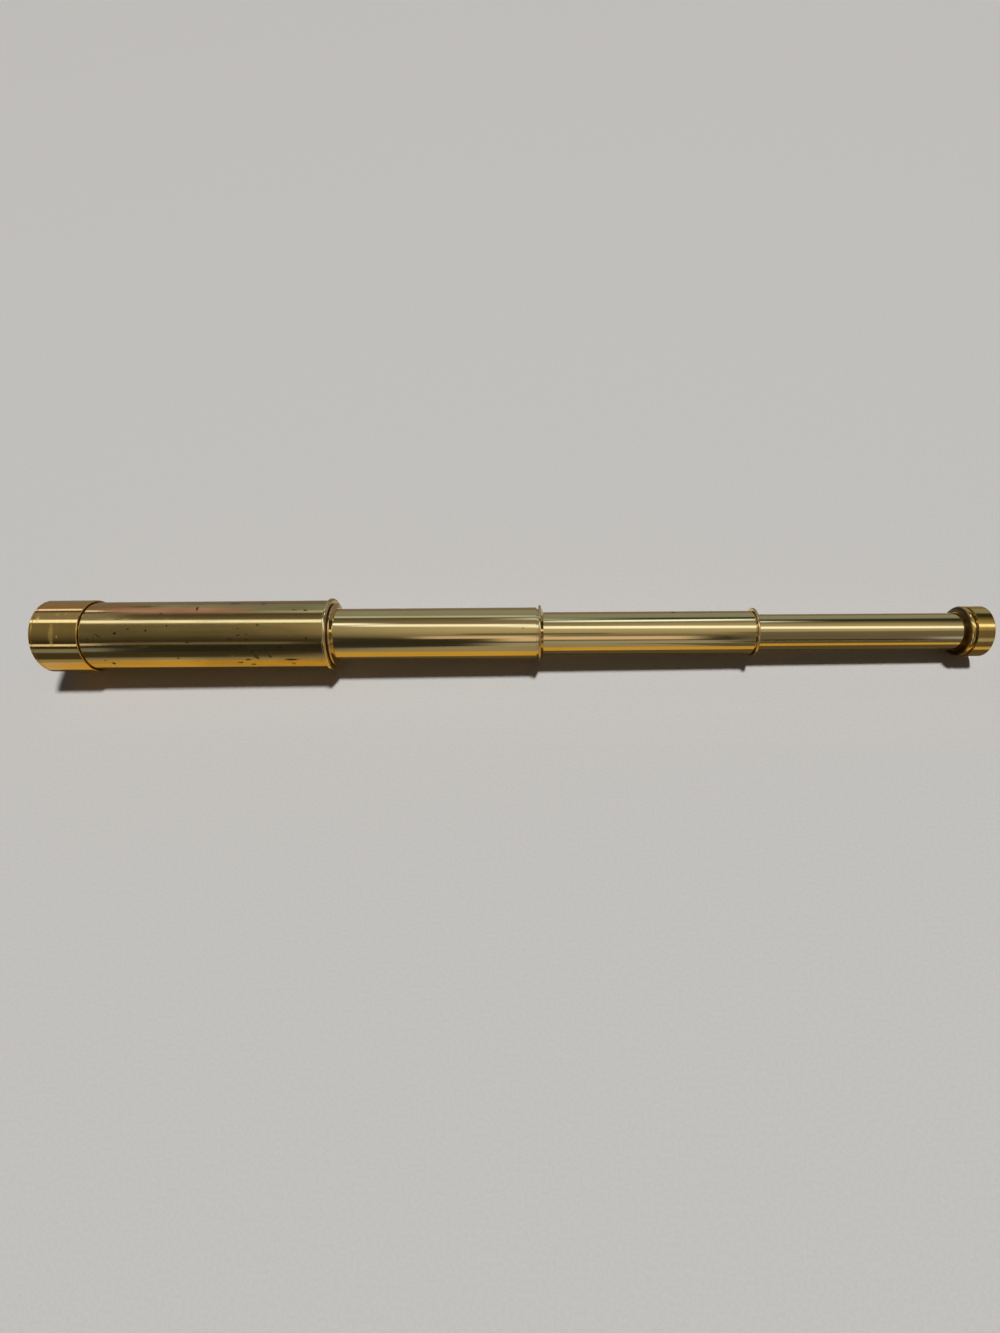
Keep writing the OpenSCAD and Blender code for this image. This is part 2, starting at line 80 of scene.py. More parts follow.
class Signal:
    """A shader socket that Python's operators turn into Math nodes."""

    def __init__(self, shader: "Shader", socket: bpy.types.NodeSocket) -> None:
        """Wraps one output socket.

        Args:
            shader: The node tree that the socket is in.
            socket: The output socket.
        """
        self.shader = shader
        self.socket = socket

    def _math(self, operation: str, *terms: "Signal | float") -> "Signal":
        """Adds one Math node.

        Args:
            operation: The Math node's operation.
            terms: What its sockets get, in order.

        Returns:
            The node's result.
        """
        values = dict(enumerate(terms))
        return self.shader.signal("ShaderNodeMath", {"operation": operation}, values)

    def __add__(self, other: "Signal | float") -> "Signal":
        """Sum."""
        return self._math("ADD", self, other)

    __radd__ = __add__

    def __sub__(self, other: "Signal | float") -> "Signal":
        """Difference."""
        return self._math("SUBTRACT", self, other)

    def __rsub__(self, other: float) -> "Signal":
        """Difference with a number on the left."""
        return self._math("SUBTRACT", other, self)

    def __mul__(self, other: "Signal | float") -> "Signal":
        """Product."""
        return self._math("MULTIPLY", self, other)

    __rmul__ = __mul__

    def __abs__(self) -> "Signal":
        """Distance from zero."""
        return self._math("ABSOLUTE", self)

    def larger(self, other: "Signal | float") -> "Signal":
        """The larger of two values."""
        return self._math("MAXIMUM", self, other)

    def rise(self, start: float, end: float) -> "Signal":
        """Goes smoothly from 0 at start to 1 at end, which may lie below start.

        Args:
            start: Value at which the result is 0.
            end: Value at which the result is 1.

        Returns:
            The share, from 0 to 1.
        """
        low, high = sorted((start, end))
        first, last = (0.0, 1.0) if start <= end else (1.0, 0.0)
        return self.shader.signal(
            "ShaderNodeMapRange",
            {"interpolation_type": "SMOOTHSTEP"},
            {"Value": self, "From Min": low, "From Max": high, "To Min": first, "To Max": last},
        )


class Shader:
    """The node tree of a material or of the world."""

    def __init__(self, owner: bpy.types.Material | bpy.types.World) -> None:
        """Empties the owner's tree.

        Args:
            owner: The material or world that the nodes are for.
        """
        owner.use_nodes = True
        self.tree = owner.node_tree
        self.tree.nodes.clear()

    def node(
        self, kind: str, settings: dict | None = None, inputs: dict | None = None
    ) -> bpy.types.ShaderNode:
        """Adds a node.

        Args:
            kind: The node's type.
            settings: Its settings, such as a Math node's operation, which are set first.
            inputs: What its sockets get, by name or number: a number, a colour or a Signal.

        Returns:
            The new node.
        """
        made = self.tree.nodes.new(kind)
        for name, value in (settings or {}).items():
            setattr(made, name, value)
        for key, value in (inputs or {}).items():
            if isinstance(value, Signal):
                self.tree.links.new(value.socket, made.inputs[key])
            else:
                made.inputs[key].default_value = value
        return made

    def signal(
        self, kind: str, settings: dict | None = None, inputs: dict | None = None,
        output: str | int = 0,
    ) -> Signal:
        """Adds a node and returns one of its outputs.

        Args:
            kind: The node's type.
            settings: Its settings.
            inputs: What its sockets get.
            output: Name or number of the output that is wanted.

        Returns:
            That output.
        """
        return Signal(self, self.node(kind, settings, inputs).outputs[output])

    @cached_property
    def place(self) -> Signal:
        """The place on the piece, in metres in the spyglass's frame."""
        return self.signal("ShaderNodeTexCoord", output="Object")

    def scaled(self, scale: Triple, turn: Triple = (0.0, 0.0, 0.0)) -> Signal:
        """The place, scaled for a pattern.

        Args:
            scale: How often the pattern repeats in a metre along x, y and z.
            turn: How far the pattern is turned about each axis, in degrees.

        Returns:
            The scaled place.
        """
        turned = [math.radians(angle) for angle in turn]
        values = {"Vector": self.place, "Scale": scale, "Rotation": turned}
        return self.signal("ShaderNodeMapping", None, values)

    def noise(
        self, scale: Triple, detail: float, warp: float = 0.0, turn: Triple = (0.0, 0.0, 0.0)
    ) -> Signal:
        """Cloudy noise.

        Args:
            scale: How many clouds there are in a metre along x, y and z.
            detail: How many finer layers are added.
            warp: How much the clouds are twisted.
            turn: How far the clouds are turned about each axis, in degrees.

        Returns:
            Values around 0.5.
        """
        place = self.scaled(scale, turn)
        values = {"Vector": place, "Scale": 1.0, "Detail": detail, "Distortion": warp}
        return self.signal("ShaderNodeTexNoise", None, values, "Fac")

    def mix(self, share: Signal | float, first: Signal | Colour, second: Signal | Colour) -> Signal:
        """Mixes two colours.

        Args:
            share: Share of the second colour.
            first: The first colour.
            second: The second colour.

        Returns:
            The mixed colour.
        """
        values = {0: share}
        for socket, colour in ((6, first), (7, second)):
            values[socket] = colour if isinstance(colour, Signal) else (*colour, 1.0)
        return self.signal("ShaderNodeMix", {"data_type": "RGBA"}, values, 2)

    def bump(self, height: Signal, depth: float) -> Signal:
        """Normals of a surface that rises by depth where height goes from 0 to 1."""
        values = {"Height": height, "Distance": depth, "Strength": 1.0}
        return self.signal("ShaderNodeBump", None, values)

    def surface(self, inputs: dict) -> None:
        """Ends the tree in a Principled shader.

        Args:
            inputs: What the shader's sockets get.
        """
        shaded = self.signal("ShaderNodeBsdfPrincipled", None, inputs)
        self.node("ShaderNodeOutputMaterial", None, {"Surface": shaded})


@dataclass(frozen=True)
class Mark:
    """One mark of use on a round piece: a stain, a deep scratch or a dull rub.

    Args:
        x: Its middle along the spyglass, in millimetres.
        angle: Where it lies round the axis, in degrees: 0 faces the camera's side, 90 up.
        length: Its length, in millimetres.
        width: Its width, in millimetres.
        slant: How far its length is turned out of the spyglass's, in degrees.
        strength: How dark or how dull it is, from 0 to 1.
    """

    DEPTH: ClassVar[float] = 6.0
    EDGE: ClassVar[Pair] = (1.25, 0.65)

    x: float
    angle: float
    length: float
    width: float
    slant: float
    strength: float

    def cover(self, shader: Shader, radius: float, ragged: Signal) -> Signal:
        """Where the mark lies.

        Args:
            shader: The node tree.
            radius: The piece's outer radius.
            ragged: Noise that frays its edge.

        Returns:
            Its strength at each place.
        """
        angle = math.radians(self.angle)
        centre = (self.x * MM, -radius * math.cos(angle), radius * math.sin(angle))
        turn = Matrix.Rotation(math.pi / 2 - angle, 3, "X")
        turn = turn @ Matrix.Rotation(math.radians(self.slant), 3, "Z")
        half = (self.length * MM / 2, self.width * MM / 2, self.DEPTH * MM)
        local = shader.signal(
            "ShaderNodeMapping",
            {"vector_type": "TEXTURE"},
            {
                "Vector": shader.place,
                "Location": centre,
                "Rotation": turn.to_euler(),
                "Scale": half,
            },
        )
        length = {"operation": "LENGTH"}
        distance = shader.signal("ShaderNodeVectorMath", length, {0: local}, "Value")
        return (distance + ragged).rise(*self.EDGE) * self.strength


@dataclass(frozen=True)
class Seam:
    """A corner whose shade is painted into the colour as a dark band, all round the spyglass.

    Args:
        x: Where it lies along the spyglass.
        radius: How far from the axis it lies.
        reach: How far the painted shade reaches from it.
    """

    x: float
    radius: float
    reach: float


@dataclass(frozen=True)
class WearAndShade:
    """What one kind of mark, of wear or of painted shade, does to brass where it lies.

    Args:
        rougher: How much rougher it makes the surface.
        depth: How far it goes down, in millimetres.
        colour: Its colour, or None for that of the rubbed metal.
        share: How much of the colour shows.
    """

    rougher: float
    depth: float = 0.0
    colour: Colour | None = None
    share: float = 1.0


@dataclass(frozen=True)
class Brass:
    """Brass with its film of tarnish, marks of making, marks of use and shade painted into its
    seams.

    Each scale says how often a pattern repeats in a metre along x, y and z.

    Args:
        slot: The record's material slot, whose name the material has too.
        metal: Colour of the rubbed metal.
        film: Colour of the metal under its brown film.
        film_share: How much of the film there is, from 0 to 1.
        roughness: Roughness of the clean metal.
        haze: How much rougher it is under the film.
        speck_share: Share of the places for a dark speck that hold one.
        scratch: How much the scratches show.
        draw_lines: Depth of the fine lines along the piece, in millimetres.
        tool_lines: Depth of the fine rings that turning leaves, in millimetres.
        wave: How far the surface is out of true, in millimetres.
        grain: Scale of the film's streaks.
        seams: Corners that shade is painted darker into.
        radius: Outer radius, which the marks lie at.
        stains: Dark marks.
        rubs: Pale, dull marks.
    """

    SCRATCH: ClassVar[WearAndShade] = WearAndShade(0.10, 0.003, share=0.5)
    RUB: ClassVar[WearAndShade] = WearAndShade(0.22)
    SPECK: ClassVar[WearAndShade] = WearAndShade(0.35, 0.008, (0.09, 0.06, 0.03))
    STAIN: ClassVar[WearAndShade] = WearAndShade(0.25, 0.004, (0.05, 0.032, 0.014))
    # Painted shade: a dark brown laid into the seams and corners.
    PAINTED_SHADE: ClassVar[WearAndShade] = WearAndShade(0.30, 0.0, (0.11, 0.062, 0.024))
    RUBBED_GAIN: ClassVar[float] = 1.14
    LINE_SHINE: ClassVar[float] = 0.4
    LINE_ROUGHNESS: ClassVar[float] = 0.06
    WIDE_SHARE: ClassVar[float] = 0.68
    FILM_EDGE: ClassVar[Pair] = (0.40, 0.62)
    SPECK_SIZES: ClassVar[Pair] = (0.12, 0.34)
    SPECK_EDGE: ClassVar[Pair] = (-0.02, 0.05)
    SCRATCH_WIDTH: ClassVar[float] = 0.012
    GAP_EDGE: ClassVar[Pair] = (0.52, 0.64)
    PAINTED_SHADE_EDGE: ClassVar[Pair] = (0.25, 0.9)
    FRAYED: ClassVar[float] = 1.5
    CLOUDS: ClassVar[Triple] = (14.0, 42.0, 42.0)
    PATCHES: ClassVar[Triple] = (500.0, 260.0, 260.0)
    FRAYS: ClassVar[Triple] = (900.0, 1300.0, 1300.0)
    LINES: ClassVar[Triple] = (5.0, 1500.0, 1500.0)
    RINGS: ClassVar[Triple] = (3200.0, 30.0, 30.0)
    WAVES: ClassVar[Triple] = (9.0, 60.0, 60.0)
    SPECKS: ClassVar[Triple] = (240.0, 240.0, 240.0)
    SPECK_EDGES: ClassVar[Triple] = (1800.0, 1800.0, 1800.0)
    SCRATCH_GAPS: ClassVar[Triple] = (70.0, 90.0, 90.0)
    SCRATCH_WAYS: ClassVar[tuple[tuple[Triple, Triple], ...]] = (
        ((16.0, 520.0, 60.0), (0.0, 0.0, 24.0)),
        ((9.0, 60.0, 640.0), (0.0, 38.0, -9.0)),
    )

    slot: str
    metal: Colour
    film: Colour
    film_share: float
    roughness: float
    haze: float
    speck_share: float
    scratch: float
    draw_lines: float = 0.0
    tool_lines: float = 0.0
    wave: float = 0.02
    grain: Triple = (26.0, 320.0, 320.0)
    seams: tuple[Seam, ...] = ()
    radius: float = 0.0
    stains: tuple[Mark, ...] = ()
    rubs: tuple[Mark, ...] = ()

    def _film(self, shader: Shader) -> Signal:
        """The brown film: wide clouds, drawn out along the piece.

        Args:
            shader: The node tree.

        Returns:
            Where it lies.
        """
        wide = shader.noise(self.CLOUDS, 3.0, 0.6)
        close = shader.noise(self.grain, 3.0)
        mixed = wide * self.WIDE_SHARE + close * (1.0 - self.WIDE_SHARE)
        return mixed.rise(*self.FILM_EDGE) * self.film_share

    def _specks(self, shader: Shader) -> Signal:
        """Dark specks of corrosion, each with a soft edge and a size of its own.

        Args:
            shader: The node tree.

        Returns:
            Where they are.
        """
        values = {"Vector": shader.scaled(self.SPECKS), "Scale": 1.0}
        cells = shader.node("ShaderNodeTexVoronoi", {"feature": "F1"}, values)
        distance, lot = (Signal(shader, cells.outputs[name]) for name in ("Distance", "Color"))
        split = shader.node("ShaderNodeSeparateColor", None, {0: lot})
        chance, share = (Signal(shader, socket) for socket in split.outputs[:2])
        smallest, largest = self.SPECK_SIZES
        size = chance.rise(1.0 - self.speck_share, 1.0) * (smallest + share * (largest - smallest))
        ragged = distance + shader.noise(self.SPECK_EDGES, 2.0) * 0.12 - 0.06
        return (size - ragged).rise(*self.SPECK_EDGE)

    def _scratches(self, shader: Shader) -> Signal:
        """Fine scratches in two directions, broken up by clouds.

        Args:
            shader: The node tree.

        Returns:
            Where they are.
        """
        first, second = (
            abs(shader.noise(scale, 1.0, turn=turn) - 0.5).rise(self.SCRATCH_WIDTH, 0.0)
            for scale, turn in self.SCRATCH_WAYS
        )
        broken = shader.noise(self.SCRATCH_GAPS, 2.0).rise(*self.GAP_EDGE)
        return second.larger(first) * broken * self.scratch

    def _painted_shade(self, shader: Shader) -> Signal | float:
        """Shade painted darker into the corners beside the seams.

        Args:
            shader: The node tree.

        Returns:
            Where it is, or 0 where there are no seams.
        """
        if not self.seams:
            return 0.0
        split = shader.node("ShaderNodeSeparateXYZ", None, {0: shader.place})
        x, y, z = (Signal(shader, socket) for socket in split.outputs[:3])
        away = shader.signal("ShaderNodeMath", {"operation": "SQRT"}, {0: y * y + z * z})
        seam_shade = 0.0
        for seam in self.seams:
            near = abs(x - seam.x).larger(abs(away - seam.radius))
            seam_shade = near.rise(seam.reach, seam.reach * 0.4).larger(seam_shade)
        patchy = shader.noise(self.PATCHES, 3.0)
        return (seam_shade * (0.6 + patchy * 0.6)).rise(*self.PAINTED_SHADE_EDGE)

    def _marks(self, shader: Shader, marks: tuple[Mark, ...]) -> Signal | float:
        """The stains or the rubs.

        Args:
            shader: The node tree.
            marks: The marks.

        Returns:
            The strongest of them at each place, or 0 where there are none.
        """
        if not marks:
            return 0.0
        ragged = (shader.noise(self.FRAYS, 3.0) - 0.5) * self.FRAYED
        strongest = 0.0
        for mark in marks:
            strongest = mark.cover(shader, self.radius, ragged).larger(strongest)
        return strongest

    def material(self) -> bpy.types.Material:
        """Makes the material.

        Returns:
            The brass, ready to be given to a piece.
        """
        made = bpy.data.materials.new(self.slot)
        shader = Shader(made)
        film = self._film(shader)
        lines, rings = (shader.noise(scale, 2.0) for scale in (self.LINES, self.RINGS))
        wobble = shader.noise(self.WAVES, 1.0)
        rubs = self._marks(shader, self.rubs)
        rubbed = tuple(min(1.0, self.RUBBED_GAIN * part) for part in self.metal)
        shine = (lines - 0.5).rise(0.06, 0.3) * self.LINE_SHINE

        colour = shader.mix(shine, shader.mix(film, self.metal, self.film), rubbed)
        rough = self.roughness + film * self.haze + (lines - 0.5) * self.LINE_ROUGHNESS
        height = lines * self.draw_lines + rings * self.tool_lines + wobble * self.wave
        # The last of these marks is painted shade in the seams; the others are scratches, rubs,
        # specks and stains.
        for cover, wear in (
            (self._scratches(shader), self.SCRATCH),
            (rubs, self.RUB),
            (self._specks(shader), self.SPECK),
            (self._marks(shader, self.stains), self.STAIN),
            (self._painted_shade(shader), self.PAINTED_SHADE),
        ):
            colour = shader.mix(cover * wear.share, colour, wear.colour or rubbed)
            rough = rough + cover * wear.rougher
            if wear.depth:
                height = height - cover * wear.depth

        shader.surface(
            {
                "Base Color": colour,
                "Metallic": 1.0 - rubs * 0.4 if self.rubs else 1.0,
                "Roughness": rough,
                "Normal": shader.bump(height, MM),
            }
        )
        return made


@dataclass(frozen=True)
class Blackening:
    """Matt black finish inside the tubes, worn to brass in places.

    Args:
        slot: The record's material slot, whose name the material has too.
        black: Colour of the coat.
        worn: Colour where the coat is worn thin.
        wear: How much of it is worn.
    """

    LINES: ClassVar[Triple] = (40.0, 900.0, 900.0)
    CLOUDS: ClassVar[Triple] = (120.0, 120.0, 120.0)
    LINE_DEPTH: ClassVar[float] = 0.01 * MM
    WORN_EDGE: ClassVar[Pair] = (0.52, 0.66)

    slot: str = "blackened_brass"
    black: Colour = (0.018, 0.016, 0.014)
    worn: Colour = (0.20, 0.15, 0.075)
    wear: float = 0.5

    def material(self) -> bpy.types.Material:
        """Makes the material.

        Returns:
            The black finish.
        """
        made = bpy.data.materials.new(self.slot)
        shader = Shader(made)
        lines, clouds = (shader.noise(scale, 3.0) for scale in (self.LINES, self.CLOUDS))
        worn = (lines * 0.5 + clouds * 0.5).rise(*self.WORN_EDGE) * self.wear
        shader.surface(
            {
                "Base Color": shader.mix(worn, self.black, self.worn),
                "Metallic": worn * 0.8,
                "Roughness": 0.62 - worn * 0.25,
                "Normal": shader.bump(lines, self.LINE_DEPTH),
            }
        )
        return made


@dataclass(frozen=True)
class LensGlass:
    """Clear polished glass with a trace of dust.

    Args:
        slot: The record's material slot, whose name the material has too.
        tint: Colour that the glass gives to what is seen through it.
        dust: How much rougher the dusty places are.
    """

    CLOUDS: ClassVar[Triple] = (260.0, 260.0, 260.0)
    DUST_EDGE: ClassVar[Pair] = (0.5, 0.75)
    INDEX: ClassVar[float] = 1.52

    slot: str = "lens_glass"
    tint: Colour = (0.93, 0.98, 0.97)
    dust: float = 0.05

    def material(self) -> bpy.types.Material:
        """Makes the material.

        Returns:
            The glass.
        """
        made = bpy.data.materials.new(self.slot)
        shader = Shader(made)
        clouds = shader.noise(self.CLOUDS, 4.0)
        shader.surface(
            {
                "Base Color": (*self.tint, 1.0),
                "Roughness": clouds.rise(*self.DUST_EDGE) * self.dust,
                "IOR": self.INDEX,
                "Transmission Weight": 1.0,
            }
        )
        return made


@dataclass(frozen=True)
class Corner:
    """One corner of a turned piece's section.

    Args:
        x: Its place along the axis.
        r: Its distance from the axis.
        rounding: Radius that it is rounded to.
    """

    x: float
    r: float
    rounding: float = 0.0


def arc(centre: Corner, radius: float, start: float, end: float, steps: int) -> list[Corner]:
    """Corners along a round stretch of a section.

    Args:
        centre: Middle of the arc.
        radius: Its radius.
        start: Where it starts, in degrees from +x towards growing radius.
        end: Where it ends, in degrees.
        steps: How many stretches it is made of.

    Returns:
        The corners, both ends included.
    """
    angles = [math.radians(start + (end - start) * step / steps) for step in range(steps + 1)]
    return [
        Corner(centre.x + radius * math.cos(angle), centre.r + radius * math.sin(angle))
        for angle in angles
    ]


class Turning:
    """A piece made as on a lathe: its section is drawn, rounded at its corners, and spun."""

    ROUNDING_STEPS = 4
    SAME_CORNER = 0.01 * MM
    SAME_PLACE = 1e-7
    INWARD = -0.5

    def __init__(self, name: str, section: Sequence[Corner]) -> None:
        """Turns the piece.

        Args:
            name: Name of the piece.
            section: Corners of its section in order. A section that starts and ends on the
                axis is left open there, and any other is closed.
        """
        self.name = name
        self.section = list(section)
        self.piece = self._start()
        self._draw()
        for corner in self.section:
            if corner.rounding:
                self._round(corner)
        self._spin()
        self._smooth()

    def _start(self) -> bpy.types.Object:
        """Adds a small plane and shrinks it to the section's first corner.

        Returns:
            The new piece.
        """
        first = self.section[0]
        bpy.ops.object.select_all(action="DESELECT")
        bpy.ops.mesh.primitive_plane_add(size=MM, location=(first.x, 0.0, first.r))
        piece = bpy.context.object
        piece.name = self.name
        piece.data.name = self.name
        bpy.ops.object.transform_apply(location=True, rotation=True, scale=True)
        bpy.ops.object.mode_set(mode="EDIT")
        bpy.ops.mesh.merge(type="CENTER")
        return piece

    def _draw(self) -> None:
        """Extrudes the section corner by corner, and closes it."""
        for before, after in zip(self.section, self.section[1:]):
            step = (after.x - before.x, 0.0, after.r - before.r)
            bpy.ops.mesh.extrude_region_move(TRANSFORM_OT_translate={"value": step})
        if self.section[0].r > 0.0 or self.section[-1].r > 0.0:
            self._select(lambda vertex: len(vertex.link_edges) == 1)
            bpy.ops.mesh.edge_face_add()

    def _select(self, wanted: Callable[[bmesh.types.BMVert], bool]) -> None:
        """Selects vertices, and nothing else.

        Args:
            wanted: Says of a vertex whether it is selected.
        """
        bpy.ops.mesh.select_all(action="DESELECT")
        edited = bmesh.from_edit_mesh(self.piece.data)
        for vertex in edited.verts:
            vertex.select = bool(wanted(vertex))
        edited.select_flush_mode()
        bmesh.update_edit_mesh(self.piece.data)

    def _round(self, corner: Corner) -> None:
        """Rounds one corner of the section.

        Args:
            corner: The corner.
        """
        place = Vector((corner.x, 0.0, corner.r))
        self._select(lambda vertex: (vertex.co - place).length < self.SAME_CORNER)
        bpy.ops.mesh.bevel(
            offset=corner.rounding, segments=self.ROUNDING_STEPS, affect="VERTICES",
            clamp_overlap=True,
        )

    def _spin(self) -> None:
        """Spins the section once round the axis and closes the seam and the poles."""
        bpy.ops.mesh.select_all(action="SELECT")
        bpy.ops.mesh.spin(
            steps=TURNING_STEPS, angle=2.0 * math.pi, center=(0.0, 0.0, 0.0), axis=(1.0, 0.0, 0.0)
        )
        bpy.ops.mesh.select_all(action="SELECT")
        bpy.ops.mesh.remove_doubles(threshold=self.SAME_PLACE)
        bpy.ops.mesh.normals_make_consistent(inside=False)
        bpy.ops.object.mode_set(mode="OBJECT")

    def _smooth(self) -> None:
        """Shades round stretches smooth and keeps flat ones flat."""
        bpy.ops.object.shade_smooth_by_angle(angle=SMOOTH_UP_TO)
        modifier = self.piece.modifiers.new("even_normals", "WEIGHTED_NORMAL")
        modifier.keep_sharp = True
        bpy.ops.object.modifier_apply(modifier=modifier.name)

    def dress(self, finish: bpy.types.Material, inside: bpy.types.Material | None = None) -> None:
        """Gives the piece its finish.

        Args:
            finish: The finish of its outer faces.
            inside: The finish of the faces that look towards the axis, if it differs.
        """
        self.piece.data.materials.append(finish)
        if inside is None:
            return
        self.piece.data.materials.append(inside)
        bpy.ops.object.mode_set(mode="EDIT")
        bpy.ops.mesh.select_all(action="DESELECT")
        bpy.ops.mesh.select_mode(type="FACE")
        edited = bmesh.from_edit_mesh(self.piece.data)
        for face in edited.faces:
            centre = face.calc_center_median()
            outward = Vector((0.0, centre.y, centre.z)).normalized()
            face.select = face.normal.dot(outward) < self.INWARD
        bmesh.update_edit_mesh(self.piece.data)
        self.piece.active_material_index = 1
        bpy.ops.object.material_slot_assign()
        bpy.ops.mesh.select_mode(type="VERT")
        bpy.ops.object.mode_set(mode="OBJECT")

    def fit(self, body: Body, node: str) -> None:
        """Puts the piece on its body in place of the plain node that it stands for.

        Args:
            body: The body that it moves with.
            node: The node that it stands for.
        """
        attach(self.piece, body.value)
        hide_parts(node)
        log.info("%s: %d faces, on %s", self.name, len(self.piece.data.polygons), body.value)


def span(node: str) -> tuple[float, float, float]:
    """Where a turned node lies.

    Args:
        node: The node.

    Returns:
        Its front end, its rear end and its outer radius.
    """
    low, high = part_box(node)
    return low.x, high.x, high.z


BARREL_STAINS: tuple[Mark, ...] = (
    Mark(41.8, 56, 5.4, 0.7, -33, 0.8),
    Mark(35.3, 51, 1.5, 0.9, -11, 0.6),
    Mark(38.8, 52, 4.1, 0.7, -87, 0.4),
    Mark(52.0, 60, 2.0, 1.4, 0, 0.95),
    Mark(59.9, 67, 2.2, 1.0, 0, 0.85),
    Mark(77.6, 95, 1.8, 1.6, -13, 0.55),
    Mark(84.7, 52, 1.0, 1.1, 0, 0.5),
    Mark(95.7, 45, 3.0, 0.8, 0, 0.85),
    Mark(98.5, 106, 3.9, 1.6, -84, 0.85),
    Mark(99.0, 52, 15.0, 0.5, 1, 0.4),
    Mark(119.6, 122, 6.2, 3.4, 0, 0.4),
    Mark(121.0, 50, 4.4, 0.9, -4, 0.8),
    Mark(124.0, 5, 3.8, 1.4, 0, 0.8),
    Mark(125.8, 67, 1.9, 0.9, 0, 0.45),
    Mark(126.2, 56, 2.5, 0.9, 7, 0.8),
    Mark(127.3, 38, 1.8, 1.1, -71, 0.9),
    Mark(129.5, 12, 3.3, 1.5, 8, 0.8),
    Mark(131.0, 57, 2.5, 0.8, 0, 0.6),
    Mark(131.0, 49, 2.8, 0.8, 0, 0.8),
    Mark(131.2, -1, 3.2, 2.2, 22, 0.7),
    Mark(135.0, 18, 4.6, 2.8, -64, 0.7),
    Mark(136.9, 121, 4.1, 3.6, -36, 0.4),
    Mark(137.5, 73, 1.6, 1.4, 0, 0.85),
    Mark(143.2, 19, 2.7, 1.7, -37, 0.8),
    Mark(150.4, 36, 2.6, 1.2, 7, 0.9),
    Mark(155.4, 12, 8.4, 1.4, 1, 0.95),
    Mark(155.7, 1, 2.6, 2.0, 0, 0.6),
    Mark(157.3, 101, 3.6, 1.2, 7, 0.5),
    Mark(164.3, 100, 2.6, 1.4, -10, 0.85),
)

CELL_RUBS: tuple[Mark, ...] = (
    Mark(14.0, 58, 2.8, 14.0, 0, 0.5),
    Mark(4.5, 83, 1.6, 5.0, 0, 0.6),
    Mark(17.6, 55, 1.2, 1.6, 0, 0.7),
    Mark(15.5, 92, 2.4, 2.0, 0, 0.4),
    Mark(20.5, 93, 1.4, 2.4, 0, 0.35),
)


class Finishes:
    """Every finish on the spyglass, each made once."""

    def __init__(self) -> None:
        """Makes the materials."""
        cell_end, cell_r = span("objective_cell")[1:]
        barrel_end, barrel_r = span("main_barrel")[1:]
        draws = [span(f"draw_{number}_tube")[1:] for number in (1, 2, 3)]
        cup_front, _, cup_r = span("eyecup")
        draw_r = draws[2][1]
        # The seams below are where shade is painted into the colour: the cell's rear step, the
        # barrel's ends, the collar's valley and the undercuts, draw 3 where it meets the cup, the
        # cup's groove, and the cup's whole front face.
        groove = cup_front + EyeEnd.groove_from + EyeEnd.groove_width / 2
        valley = barrel_end + Barrel.bead_width + Barrel.valley_width / 2
        valley_r = span("barrel_collar")[2] - Barrel.rim_drop - Barrel.valley_depth
        finishes = (
            Brass(
                "barrel_brass", metal=(0.76, 0.52, 0.17), film=(0.54, 0.36, 0.115), film_share=0.8,
                roughness=0.10, haze=0.06, speck_share=0.10, scratch=0.8,
                draw_lines=0.0004, wave=0.012, radius=barrel_r, stains=BARREL_STAINS,
                seams=(Seam(cell_end, barrel_r, 0.45 * MM), Seam(barrel_end, barrel_r, 0.3 * MM)),
            ),
            Brass(
                "cell_brass", metal=(0.82, 0.53, 0.15), film=(0.68, 0.42, 0.11), film_share=0.4,
                roughness=0.06, haze=0.04, speck_share=0.02, scratch=0.5,
                tool_lines=0.0004, wave=0.004, grain=(320.0, 40.0, 40.0),
                radius=cell_r, rubs=CELL_RUBS, seams=(Seam(cell_end, barrel_r, 0.85 * MM),),
            ),
            Brass(
                "draw_brass", metal=(0.84, 0.61, 0.235), film=(0.70, 0.48, 0.16), film_share=0.3,
                roughness=0.09, haze=0.05, speck_share=0.012, scratch=0.4,
                draw_lines=0.0007, wave=0.008, seams=(Seam(cup_front, draw_r, 0.5 * MM),),
            ),
            Brass(
                "collar_brass", metal=(0.82, 0.60, 0.25), film=(0.60, 0.40, 0.14), film_share=0.35,
                roughness=0.10, haze=0.06, speck_share=0.01, scratch=0.3,
                tool_lines=0.0004, wave=0.004, grain=(320.0, 60.0, 60.0),
                seams=(
                    Seam(valley, valley_r, 0.45 * MM),
                    *(Seam(end, radius, 0.5 * MM) for end, radius in draws[:2]),
                ),
            ),
            Brass(
                "eyecup_brass", metal=(0.86, 0.54, 0.125), film=(0.60, 0.35, 0.075),
                film_share=0.5, roughness=0.10, haze=0.08, speck_share=0.03, scratch=0.4,
                tool_lines=0.0006, wave=0.004, grain=(320.0, 60.0, 60.0),
                seams=(
                    # Painted shade: the whole front face of the cup is painted dark, as a face in
                    # shade.
                    Seam(cup_front, (draw_r + cup_r) / 2, 2.3 * MM),
                    Seam(groove, cup_r - EyeEnd.groove_depth, 0.85 * MM),
                ),
            ),
            Brass(
                "inner_brass", metal=(0.60, 0.46, 0.23), film=(0.34, 0.24, 0.11), film_share=0.6,
                roughness=0.25, haze=0.12, speck_share=0.03, scratch=0.2, tool_lines=0.0012,
            ),
            Blackening(),
            LensGlass(),
        )
        self.made = {finish.slot: finish.material() for finish in finishes}

    def of(self, slot: str) -> bpy.types.Material:
        """The material for one of the record's slots."""
        return self.made[slot]


